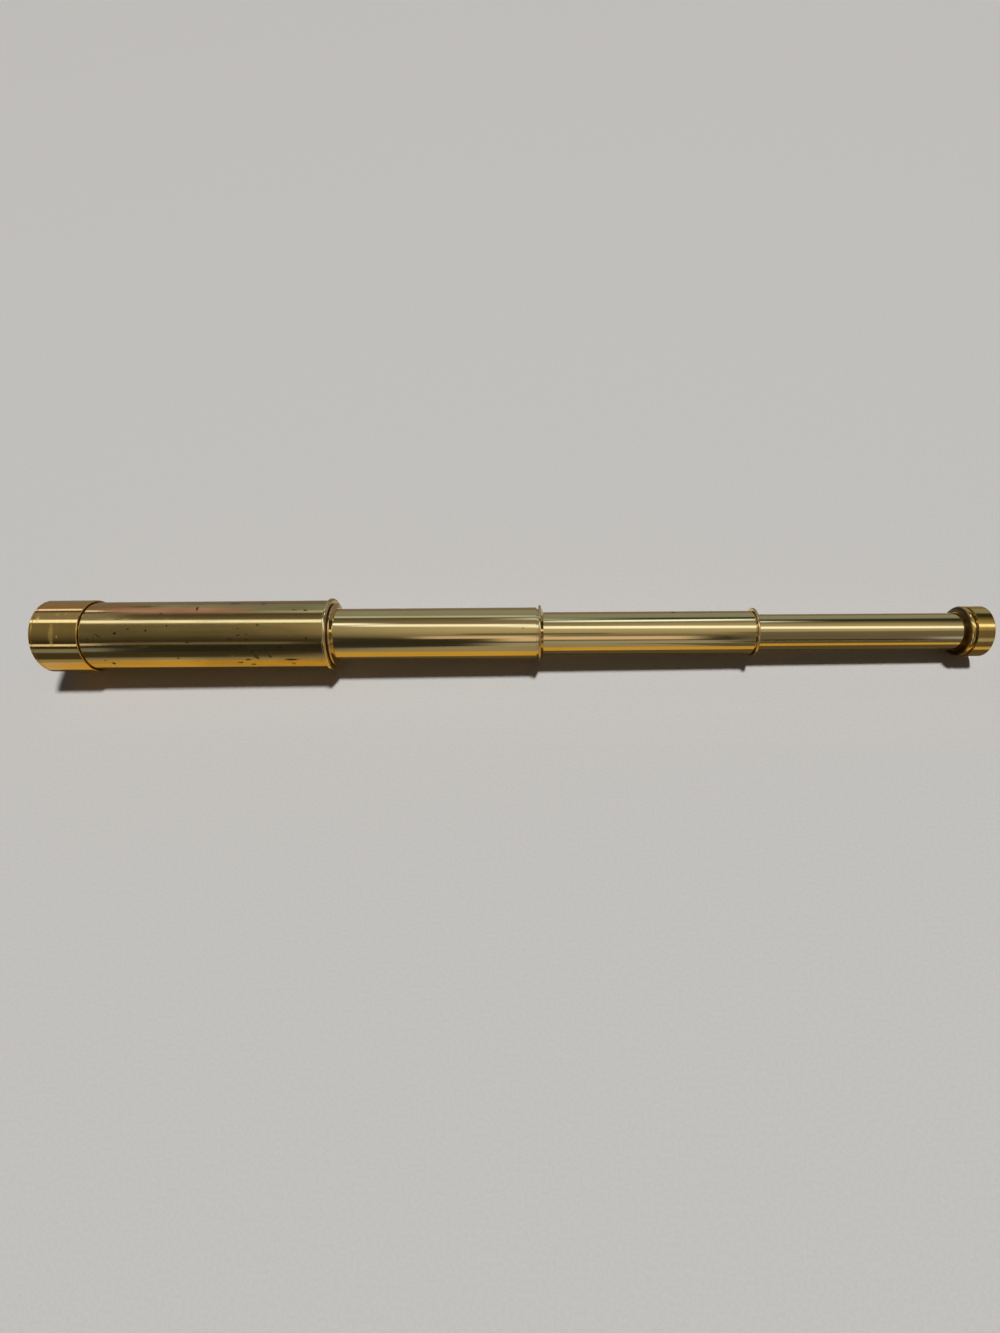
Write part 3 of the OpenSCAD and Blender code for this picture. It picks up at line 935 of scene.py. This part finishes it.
@dataclass
class Assembly:
    """A group of pieces that are made together.

    Args:
        finishes: The finishes.
    """

    finishes: Finishes

    TUBE_EDGE: ClassVar[float] = 0.12 * MM

    def turn(
        self, name: str, section: Sequence[Corner], body: Body, slot: str, node: str,
        inside: str | None = None,
    ) -> None:
        """Turns a piece, gives it its finish and fits it in place of its node.

        Args:
            name: Its name.
            section: Corners of its section.
            body: The body that it moves with.
            slot: The record's slot for it.
            node: The node that it stands for.
            inside: The slot for the faces that look towards the axis, if it differs.
        """
        piece = Turning(name, section)
        piece.dress(self.finishes.of(slot), self.finishes.of(inside) if inside else None)
        piece.fit(body, node)

    def tube(self, name: str, node: str, wall: float, body: Body, slot: str) -> None:
        """Turns a plain tube, blackened inside.

        Args:
            name: Its name.
            node: The node that it stands for.
            wall: Thickness of its wall.
            body: The body that it moves with.
            slot: The record's slot for its outside.
        """
        front, rear, outer = span(node)
        ends = ((front, outer), (rear, outer), (rear, outer - wall), (front, outer - wall))
        section = [Corner(x, r, self.TUBE_EDGE) for x, r in ends]
        self.turn(name, section, body, slot, node, inside="blackened_brass")


@dataclass
class ObjectEnd(Assembly):
    """The cell at the object end with its lens of two glasses."""

    edge: float = 0.4 * MM
    fine_edge: float = 0.06 * MM
    line_from: float = 1.6 * MM
    line_width: float = 0.4 * MM
    line_depth: float = 0.2 * MM
    recess_wall: float = 2.4 * MM
    lens_sink: float = 6.0 * MM
    lip: float = 1.0 * MM
    lip_edge: float = 0.2 * MM
    lens_edge: float = 1.0 * MM
    play: float = 0.06 * MM
    seat_play: float = 0.04 * MM
    crown_front: float = 240.0 * MM
    shared_curve: float = 170.0 * MM

    def build(self) -> None:
        """Makes the cell and both glasses."""
        self._cell()
        self._glasses()

    def _cell(self) -> None:
        """Makes the cell: a sleeve with a turned line, a recess and a lip for the lens."""
        front, rear, outer = span("objective_cell")
        barrel_front, _, barrel_r = span("main_barrel")
        lens_r = span("objective_crown_lens")[2]
        recess = outer - self.recess_wall
        floor_r = outer - self.line_depth
        line_to = self.line_from + self.line_width
        lip_front = self.lens_sink - self.lip
        section = [
            Corner(front, outer, self.edge),
            Corner(self.line_from, outer, self.fine_edge),
            Corner(self.line_from, floor_r),
            Corner(line_to, floor_r),
            Corner(line_to, outer, self.fine_edge),
            Corner(rear, outer, self.edge),
            Corner(rear, barrel_r + self.seat_play, self.fine_edge),
            Corner(barrel_front, barrel_r + self.seat_play),
            Corner(barrel_front, lens_r + self.play),
            Corner(self.lens_sink, lens_r + self.play),
            Corner(self.lens_sink, lens_r - self.lens_edge),
            Corner(lip_front, lens_r - self.lens_edge, self.lip_edge),
            Corner(lip_front, recess),
            Corner(front, recess, self.edge),
        ]
        self.turn("cell", section, Body.BARREL, "cell_brass", "objective_cell")

    def _glasses(self) -> None:
        """Makes the front glass, and the rear glass that is ground to fit its rear face."""
        node = "objective_crown_lens"
        front, rear, radius = span(node)
        section = lens_curve(front, radius, self.crown_front)
        section += lens_curve(rear, radius, -self.shared_curve)[::-1]
        self.turn("object_lens_front_glass", section, Body.BARREL, "lens_glass", node)

        node = "objective_flint_lens"
        front, rear, radius = span(node)
        vertex = front + sag(radius, self.shared_curve)
        section = lens_curve(vertex, radius, -self.shared_curve)
        section += [Corner(rear, radius), Corner(rear, 0.0)]
        self.turn("object_lens_rear_glass", section, Body.BARREL, "lens_glass", node)


def sag(radius: float, curve: float) -> float:
    """How far a curve of a given radius falls back at a distance from the axis."""
    return abs(curve) - math.sqrt(curve * curve - radius * radius)


def lens_curve(vertex: float, radius: float, curve: float, steps: int = 16) -> list[Corner]:
    """Section of one face of a lens, from the axis to its edge.

    Args:
        vertex: Where the face crosses the axis.
        radius: Radius of the lens.
        curve: Radius of the face, positive where its middle stands out to the front.
        steps: How many stretches it is made of.

    Returns:
        The corners.
    """
    side = math.copysign(1.0, curve)
    heights = [radius * step / steps for step in range(steps + 1)]
    return [Corner(vertex + side * sag(height, curve), height) for height in heights]


@dataclass
class Barrel(Assembly):
    """The barrel tube and the collar at its rear."""

    wall: float = 1.0 * MM
    spigot_play: float = 0.04 * MM
    spigot: float = 8.0 * MM
    bead_width: float = 2.1 * MM
    bead_edge: float = 0.4 * MM
    bead_land: float = 0.4 * MM
    valley_width: float = 0.5 * MM
    valley_depth: float = 0.6 * MM
    valley_edges: Pair = (0.15 * MM, 0.1 * MM)
    rim_drop: float = 2.8 * MM
    rim_width: float = 1.1 * MM
    cone_foot: float = 0.6 * MM
    cone_edge: float = 0.1 * MM
    bore_play: float = 0.05 * MM
    sleeve_wall: float = 1.1 * MM
    sleeve_play: float = 0.04 * MM

    def build(self) -> None:
        """Makes the tube and its collar."""
        self.tube("barrel_tube", "main_barrel", self.wall, Body.BARREL, "barrel_brass")
        self._collar()

    def _collar(self) -> None:
        """Makes the collar: a bead highest at its front, a lower thin rim and a slope."""
        _, start, barrel_r = span("main_barrel")
        _, rear, crest = span("barrel_collar")
        sleeve_rear = span("barrel_guide_sleeve")[1]
        bore = span("draw_1_tube")[2] + self.bore_play
        sleeve_r = bore + self.sleeve_wall + self.sleeve_play
        spigot_r = barrel_r - self.wall - self.spigot_play
        front = Corner(start + self.bead_edge, crest - self.bead_edge)
        back = self.bead_width - self.bead_edge - self.bead_land
        valley = start + self.bead_width
        valley_to = valley + self.valley_width
        valley_r = crest - self.rim_drop - self.valley_depth
        rim = self.rim_width / 2
        section = [
            Corner(start - self.spigot, spigot_r),
            Corner(start, spigot_r),
            *arc(front, self.bead_edge, 180.0, 90.0, 8),
            *arc(Corner(front.x + self.bead_land, crest - back), back, 90.0, 0.0, 16),
            Corner(valley, valley_r, self.valley_edges[0]),
            Corner(valley_to, valley_r, self.valley_edges[1]),
            *arc(Corner(valley_to + rim, crest - self.rim_drop - rim), rim, 180.0, 0.0, 14),
            Corner(rear, bore + self.cone_foot, self.cone_edge),
            Corner(rear, bore),
            Corner(sleeve_rear, bore),
            Corner(sleeve_rear, sleeve_r),
            Corner(start - self.spigot, sleeve_r),
        ]
        self.turn("barrel_end_collar", section, Body.BARREL, "collar_brass", "barrel_collar")


@dataclass
class Draw(Assembly):
    """One of the draws, with the thin collar on its rear if it carries another draw.

    Args:
        number: 1, 2 or 3, counted from the barrel.
        undercut: Width of the undercut in front of its collar's rim, or 0 for no collar.
    """

    number: int
    undercut: float = 0.0
    wall: float = 0.8 * MM
    spigot: float = 8.0 * MM
    spigot_play: float = 0.04 * MM
    bore_play: float = 0.05 * MM
    guide_wall: float = 0.7 * MM
    rim_width: float = 1.4 * MM
    rim_rounding: float = 0.6 * MM
    slope_top: float = 0.83 * MM
    slope_foot: float = 0.5 * MM
    slope_edge: float = 0.1 * MM

    def body(self) -> Body:
        """The body that the draw is."""
        return Body(f"draw_{self.number}")

    def build(self) -> None:
        """Makes the tube and, where there is one, the collar."""
        name = self.body().value
        self.tube(f"{name}_outer_tube", f"{name}_tube", self.wall, self.body(), "draw_brass")
        if self.undercut:
            self._collar(name)

    def _collar(self, name: str) -> None:
        """Makes the collar: an undercut, a rounded rim and a slope down to the next draw.

        Args:
            name: What the draw's nodes are called.
        """
        _, start, tube_r = span(f"{name}_tube")
        _, rear, crest = span(f"{name}_collar")
        sleeve_rear = span(f"{name}_guide_sleeve")[1]
        bore = span(f"draw_{self.number + 1}_tube")[2] + self.bore_play
        sleeve_r = bore + self.guide_wall + self.spigot_play
        spigot_r = tube_r - self.wall - self.spigot_play
        rim_from = start + self.undercut
        rim_to = rim_from + self.rim_width
        section = [
            Corner(start - self.spigot, spigot_r),
            Corner(rim_from, spigot_r),
            Corner(rim_from, crest, self.rim_rounding),
            Corner(rim_to, crest, self.rim_rounding),
            Corner(rim_to, crest - self.slope_top),
            Corner(rear, bore + self.slope_foot, self.slope_edge),
            Corner(rear, bore),
            Corner(sleeve_rear, bore),
            Corner(sleeve_rear, sleeve_r),
            Corner(start - self.spigot, sleeve_r),
        ]
        self.turn(f"{name}_end_collar", section, self.body(), "collar_brass", f"{name}_collar")


@dataclass
class EyeEnd(Assembly):
    """The eyecup and the eye lens behind it."""

    front_edge: float = 2.2 * MM
    edge: float = 0.6 * MM
    fine_edge: float = 0.1 * MM
    groove_from: float = 2.8 * MM
    groove_width: float = 1.5 * MM
    groove_depth: float = 0.8 * MM
    seat: float = 6.5 * MM
    seat_play: float = 0.04 * MM
    hole_r: float = 4.5 * MM
    dish_mouth_r: float = 12.4 * MM
    dish_curve: float = 16.5 * MM
    eye_curve: float = 18.0 * MM

    def build(self) -> None:
        """Makes the cup and the lens."""
        self._cup()
        front, rear, radius = span("eye_lens")
        section = lens_curve(front, radius, self.eye_curve)
        section += [Corner(rear, radius), Corner(rear, 0.0)]
        self.turn("eye_lens_glass", section, Body.DRAW_3, "lens_glass", "eye_lens")

    def _dish_angle(self, radius: float) -> float:
        """Where the dish's curve is this far from the axis, in degrees."""
        return 180.0 - math.degrees(math.asin(radius / self.dish_curve))

    def _cup(self) -> None:
        """Makes the cup: a turned groove outside, and a dish with the eye hole behind."""
        front, rear, outer = span("eyecup")
        seat_r = span("draw_3_tube")[2] + self.seat_play
        web = front + self.seat
        groove = front + self.groove_from
        groove_to = groove + self.groove_width
        groove_r = outer - self.groove_depth
        rounding = Corner(front + self.front_edge, outer - self.front_edge)
        dish = Corner(rear + math.sqrt(self.dish_curve**2 - self.dish_mouth_r**2), 0.0)
        mouth, hole = self._dish_angle(self.dish_mouth_r), self._dish_angle(self.hole_r)
        section = [
            Corner(front, seat_r, self.fine_edge),
            *arc(rounding, self.front_edge, 180.0, 90.0, 12),
            Corner(groove, outer, self.fine_edge),
            Corner(groove, groove_r),
            Corner(groove_to, groove_r),
            Corner(groove_to, outer, self.fine_edge),
            Corner(rear, outer, self.edge),
            *arc(dish, self.dish_curve, mouth, hole, 24),
            Corner(web, self.hole_r),
            Corner(web, seat_r),
        ]
        self.turn("eye_cup", section, Body.DRAW_3, "eyecup_brass", "eyecup")


@dataclass
class InnerWorks(Assembly):
    """The pieces inside, which keep their shapes and only get their finishes."""

    def dress(self) -> None:
        """Gives every node its slot's finish."""
        slots = {part["node"]: part["material_slot"] for part in frame["record"]["subparts"]}
        for name, node in frame["nodes"].items():
            node.data.materials.clear()
            node.data.materials.append(self.finishes.of(slots[name]))
            if not node.hide_render:
                log.info("%s: dressed in %s", name, slots[name])


@dataclass(frozen=True)
class Glow:
    """The even light of a card, or its shade, fading out towards the card's edges.

    Args:
        colour: The colour of its light.
        strength: How bright it is.
        softness: Share of the card's half width over which it fades out.
        ends: Share of the card's half length over which it fades out.
        cover: How much it hides of what is behind the card's middle.
    """

    colour: Colour
    strength: float
    softness: float
    ends: float
    cover: float = 1.0

    def card(self, name: str, place: Triple, turn: Triple, length: float, width: float) -> None:
        """Makes a card out of the picture, which only metal and glass mirror.

        Args:
            name: Its name.
            place: Its middle.
            turn: How it is turned about x, y and z.
            length: Its length, along x before it is turned.
            width: Its width.
        """
        bpy.ops.object.select_all(action="DESELECT")
        bpy.ops.mesh.primitive_plane_add(size=1.0, location=place, rotation=turn)
        made = bpy.context.object
        made.name = name
        made.scale = (length, width, 1.0)
        made.visible_camera = made.visible_diffuse = made.visible_shadow = False
        made.data.materials.append(self._material(name))

    def _material(self, name: str) -> bpy.types.Material:
        """Makes a card's material.

        Args:
            name: The card's name.

        Returns:
            The material.
        """
        made = bpy.data.materials.new(name)
        shader = Shader(made)
        split = shader.node("ShaderNodeSeparateXYZ", None, {0: shader.place})
        along, across = (abs(Signal(shader, socket)) * 2.0 for socket in split.outputs[:2])
        share = across.rise(1.0, 1.0 - self.softness) * along.rise(1.0, 1.0 - self.ends)
        light = {"Color": (*self.colour, 1.0), "Strength": self.strength}
        glow = shader.signal("ShaderNodeEmission", None, light)
        clear = shader.signal("ShaderNodeBsdfTransparent")
        shares = {0: share * self.cover, 1: clear, 2: glow}
        mixed = shader.signal("ShaderNodeMixShader", None, shares)
        shader.node("ShaderNodeOutputMaterial", None, {"Surface": mixed})
        return made


@dataclass(frozen=True)
class HungCard:
    """A card that hangs over the spyglass or beside it, square to its line of sight.

    Args:
        name: Its name.
        angle: Where it hangs round the spyglass's axis, in degrees: 0 is level on the camera's
            side, 90 is overhead and 180 is level behind.
        spread: How wide it looks from the axis, in degrees.
        reach: Where it starts and ends along x.
        glow: Its light.
        distance: How far from the axis it hangs.
        skew: How far its length is turned about the vertical, in degrees.
    """

    name: str
    angle: float
    spread: float
    reach: Pair
    glow: Glow
    distance: float = 1.2
    skew: float = 0.0

    def hang(self) -> None:
        """Hangs the card up."""
        start, end = self.reach
        angle = math.radians(self.angle)
        away, up = self.distance * math.cos(angle), self.distance * math.sin(angle)
        width = 2 * self.distance * math.tan(math.radians(self.spread / 2))
        turn = (math.pi / 2 - angle, 0.0, math.radians(self.skew))
        self.glow.card(self.name, ((start + end) / 2, -away, up), turn, end - start, width)


@dataclass(frozen=True)
class EndCard:
    """A card that stands beyond one end of the spyglass.

    Args:
        name: Its name.
        x: Where it stands along x.
        glow: Its light.
        height: Its height.
        width: Its width.
    """

    name: str
    x: float
    glow: Glow
    height: float = 3.4
    width: float = 2.181659

    def hang(self) -> None:
        """Stands the card up, facing the spyglass."""
        turn = (0.0, math.pi / 2, 0.0)
        self.glow.card(self.name, (self.x, 0.0, 0.0), turn, self.height, self.width)


@dataclass(frozen=True)
class FloorCard:
    """A card that lies on the floor in front of the spyglass, or behind it.

    Args:
        name: Its name.
        reach: Where it starts and ends along x.
        near: Its edge on the spyglass's side, measured from the axis along y.
        far: Its other edge.
        rise: How far above the floor it lies.
        glow: Its light.
        skew: How far its length is turned about the vertical, in degrees.
    """

    name: str
    reach: Pair
    near: float
    far: float
    rise: float
    glow: Glow
    skew: float = 0.0

    def lay(self, slope: float, touch_x: float, touch_z: float) -> None:
        """Lays the card on the sloping floor.

        Args:
            slope: The floor's slope.
            touch_x: Where the spyglass touches the floor along x.
            touch_z: The floor's height there.
        """
        start, end = self.reach
        middle = (start + end) / 2
        height = touch_z + (middle - touch_x) * math.tan(slope) + self.rise
        place = (middle, (self.near + self.far) / 2, height)
        turn = (0.0, -slope, math.radians(self.skew))
        self.glow.card(self.name, place, turn, end - start, abs(self.far - self.near))


NEUTRAL: Colour = (1.0, 1.0, 1.0)
STRIP: Colour = (0.84, 1.0, 1.5)
ROSY: Colour = (1.05, 0.96, 1.08)
END_LIGHT = Glow(NEUTRAL, 0.40, 0.6, 0.5, 0.9)

CARDS: tuple[HungCard | EndCard, ...] = (
    HungCard(
        "overhead_left", 104, 14.5, (-1.6, -0.02), Glow(STRIP, 1.55, 0.65, 0.2), skew=-4.0
    ),
    HungCard(
        "overhead_middle", 94, 15.5, (-0.20, 0.36), Glow(STRIP, 1.45, 0.65, 0.5), 1.19, -10.0
    ),
    HungCard(
        "overhead_right", 82.8, 18.5, (0.18, 2.2), Glow(STRIP, 1.5, 0.65, 0.15), skew=-8.3
    ),
    HungCard(
        "far_window", 125, 15, (0.15, 1.04), Glow((0.74, 1.0, 1.65), 1.6, 0.7, 0.75), 1.21, 10.0
    ),
    HungCard(
        "far_strip_left", 149, 11, (-2.2, -0.78), Glow((0.95, 1.0, 1.6), 1.2, 0.7, 0.04), 1.22
    ),
    HungCard(
        "far_strip", 139, 18, (-0.62, 0.6), Glow((0.85, 1.0, 1.35), 0.62, 0.8, 0.6), 1.22, -6.0
    ),
    HungCard(
        "overhead_veil", 124, 36, (-2.4, -0.76), Glow((0.96, 1.02, 1.25), 0.27, 0.5, 0.06), 1.28
    ),
    HungCard(
        "far_blush", 150, 44, (-0.82, -0.40), Glow((1.15, 0.85, 1.2), 0.40, 0.8, 0.4), 1.25
    ),
    HungCard(
        "far_wall", 166, 54, (-0.76, 2.2), Glow((0.82, 1.03, 1.35), 0.34, 0.5, 0.06, 0.9), 1.3
    ),
    HungCard(
        "far_wall_left", 166, 54, (-2.4, -0.74), Glow((1.15, 0.9, 0.9), 0.24, 0.5, 0.06, 0.9), 1.31
    ),
    HungCard("near_strip", 27, 9, (-1.8, -0.78), Glow((0.95, 1.0, 1.3), 1.0, 0.6, 0.04)),
    HungCard("near_trace", 30, 10, (-0.85, -0.15), Glow((0.95, 1.0, 1.1), 0.28, 0.8, 0.7)),
    HungCard("near_window_left", 41, 15, (-0.03, 0.36), Glow(ROSY, 0.66, 0.6, 0.5)),
    HungCard("near_window", 31, 27, (0.16, 0.74), Glow(ROSY, 0.66, 0.7, 0.35), 1.21),
    HungCard(
        "near_wall", 36, 60, (0.80, 2.4), Glow((1.0, 1.0, 1.15), 0.15, 0.3, 0.06, 0.9), 1.29
    ),
    HungCard("low_window", 2, 34, (0.1, 0.86), Glow((0.92, 1.0, 1.25), 0.36, 0.3, 0.4), 1.25),
    HungCard(
        "low_sky_left", 8, 18, (-2.2, -0.78), Glow((0.85, 1.0, 1.6), 0.28, 0.6, 0.04), 1.25
    ),
    HungCard("low_sky_right", 15, 26, (1.24, 2.4), Glow((0.9, 1.0, 1.6), 0.40, 0.7, 0.1), 1.25),
    HungCard("camera_back", 54.5, 9, (0.20, 0.40), Glow(NEUTRAL, 0.08, 0.4, 0.3, 0.8), 0.39),
    HungCard("ceiling_right", 82, 100, (-0.6, 2.0), Glow(NEUTRAL, 0.52, 1.0, 0.6, 0.9), 1.3),
    HungCard("ceiling_left", 88, 110, (-3.0, 0.8), Glow(NEUTRAL, 0.18, 1.0, 0.4), 1.32),
    HungCard(
        "low_flag", 2, 30, (-3.2, 0.1), Glow((0.85, 1.0, 1.5), 0.035, 0.4, 0.1, 0.9), 1.35
    ),
    EndCard("right_end", 2.3, END_LIGHT),
    EndCard("left_end", -1.9, END_LIGHT),
)

FLOOR_CARDS: tuple[FloorCard, ...] = (
    FloorCard(
        "front_ground", (-2.6, 2.8), -0.052, -1.5, 0.3 * MM,
        Glow(NEUTRAL, 0.30, 0.02, 0.1, 0.95),
    ),
    FloorCard(
        "front_shade_left", (-2.6, 0.22), -0.080, -1.5, 0.5 * MM,
        Glow(NEUTRAL, 0.03, 0.03, 0.12, 0.9),
    ),
    FloorCard(
        "front_shade_right", (0.40, 2.8), -0.050, -1.5, 0.6 * MM,
        Glow(NEUTRAL, 0.06, 0.03, 0.03, 0.8),
    ),
    FloorCard(
        "front_glow", (-0.05, 0.60), -0.026, -0.062, 0.7 * MM,
        Glow((1.0, 0.67, 0.12), 0.60, 0.35, 0.2, 0.95), -1.2,
    ),
    FloorCard(
        "front_shadow", (-0.05, 0.62), -0.002, -0.031, 0.4 * MM,
        Glow((1.0, 0.75, 0.45), 0.05, 0.2, 0.1, 0.9), -1.2,
    ),
    FloorCard(
        "back_ground", (-2.6, 2.8), 0.03, 1.5, 0.3 * MM,
        Glow((1.0, 0.86, 0.75), 0.18, 0.03, 0.1, 0.9),
    ),
)


@dataclass
class Studio:
    """The floor, the lamps, the world and the camera."""

    floor_size: float = 40.0
    floor_colour: Colour = (0.74, 0.73, 0.715)
    floor_grain: Triple = (700.0, 700.0, 700.0)
    room: Colour = (0.032, 0.032, 0.033)
    backdrop: Colour = (0.57, 0.565, 0.55)
    sun_strength: float = 2.3
    sun_colour: Colour = (1.0, 0.985, 0.96)
    sun_from: Triple = (0.17, 0.14, 1.0)
    sun_softness: float = 7.0
    focal_length: float = 17.42
    sensor: float = 36.0
    camera_place: Triple = (0.2981, -0.2164, 0.3212)
    camera_dip: float = 58.94
    camera_yaw: float = -3.04
    camera_roll: float = 0.158
    clip_start: float = 0.01
    clip_end: float = 50.0

    def build(self) -> None:
        """Sets up everything around the spyglass."""
        self._floor()
        self._world()
        self._sun()
        for card in CARDS:
            card.hang()
        for card in FLOOR_CARDS:
            card.lay(*self._tilt())
        self._camera()

    def _tilt(self) -> tuple[float, float, float]:
        """The floor's slope, and the touching point that it is measured from.

        The spyglass lies on its barrel collar and its eyecup, so that its axis slopes down
        to the eye. The axis is level here, and the floor rises instead.

        Returns:
            The slope as an angle, and the touching point's x and z.
        """
        bead_x = span("main_barrel")[1] + Barrel.bead_edge + Barrel.bead_land
        bead_r = span("barrel_collar")[2]
        cup_x, cup_r = span("eyecup")[1] - EyeEnd.edge, span("eyecup")[2]
        slope = math.atan2(bead_r - cup_r, cup_x - bead_x)
        return slope, bead_x, -bead_r

    def _floor(self) -> None:
        """Lays the floor under the two places that the spyglass rests on."""
        slope, touch_x, touch_z = self._tilt()
        bpy.ops.object.select_all(action="DESELECT")
        bpy.ops.mesh.primitive_plane_add(
            size=self.floor_size, location=(touch_x, 0.0, touch_z), rotation=(0.0, -slope, 0.0)
        )
        floor = bpy.context.object
        floor.name = "floor"
        made = bpy.data.materials.new("floor")
        shader = Shader(made)
        grain = shader.noise(self.floor_grain, 3.0)
        pale = tuple(part * 0.96 for part in self.floor_colour)
        shader.surface(
            {
                "Base Color": shader.mix(grain.rise(0.35, 0.65), pale, self.floor_colour),
                "Roughness": 0.8,
                "Specular IOR Level": 0.2,
            }
        )
        floor.data.materials.append(made)

    def _world(self) -> None:
        """Makes an even, dim room, which is pale where the camera or a lens sees it."""
        world = bpy.data.worlds.new("room")
        bpy.context.scene.world = world
        shader = Shader(world)
        rays = shader.node("ShaderNodeLightPath")
        seen = Signal(shader, rays.outputs["Is Camera Ray"])
        seen = seen.larger(Signal(shader, rays.outputs["Is Transmission Ray"]))
        dim, pale = (
            shader.signal("ShaderNodeBackground", None, {"Color": (*colour, 1.0), "Strength": 1.0})
            for colour in (self.room, self.backdrop)
        )
        mixed = shader.signal("ShaderNodeMixShader", None, {0: seen, 1: dim, 2: pale})
        shader.node("ShaderNodeOutputWorld", None, {"Surface": mixed})

    def _sun(self) -> None:
        """Lights the floor from just behind overhead, with no mirror image in the metal."""
        lamp = bpy.data.lights.new("overhead_sun", "SUN")
        lamp.energy = self.sun_strength
        lamp.angle = math.radians(self.sun_softness)
        lamp.color = self.sun_colour
        hung = bpy.data.objects.new("overhead_sun", lamp)
        hung.rotation_euler = Vector(self.sun_from).to_track_quat("Z", "Y").to_euler()
        hung.visible_glossy = False
        bpy.context.scene.collection.objects.link(hung)

    def _camera(self) -> None:
        """Sets the camera where the picture was taken from."""
        dip, yaw = math.radians(self.camera_dip), math.radians(self.camera_yaw)
        ahead = Vector(
            (math.sin(yaw), math.cos(dip) * math.cos(yaw), -math.sin(dip) * math.cos(yaw))
        )
        right = (Vector((1.0, 0.0, 0.0)) - ahead * ahead.x).normalized()
        up = right.cross(ahead)
        roll = Matrix.Rotation(math.radians(self.camera_roll), 3, ahead)
        right, up = roll @ right, roll @ up
        data = bpy.data.cameras.new("camera")
        data.lens = self.focal_length
        data.sensor_width = self.sensor
        data.sensor_fit = "AUTO"
        data.clip_start = self.clip_start
        data.clip_end = self.clip_end
        camera = bpy.data.objects.new("camera", data)
        bpy.context.scene.collection.objects.link(camera)
        turn = Matrix((right, up, -ahead)).transposed().to_4x4()
        camera.matrix_world = Matrix.Translation(self.camera_place) @ turn
        bpy.context.scene.camera = camera


def main() -> None:
    """Builds the spyglass and its surroundings."""
    logging.basicConfig(level=logging.INFO, format="%(name)s: %(message)s")
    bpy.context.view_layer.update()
    bpy.context.scene.view_settings.view_transform = "Standard"
    Studio().build()
    finishes = Finishes()
    ObjectEnd(finishes).build()
    Barrel(finishes).build()
    for number, undercut in ((1, 1.1 * MM), (2, 0.6 * MM), (3, 0.0)):
        Draw(finishes, number, undercut).build()
    EyeEnd(finishes).build()
    InnerWorks(finishes).dress()


if __name__ == "__main__":
    main()
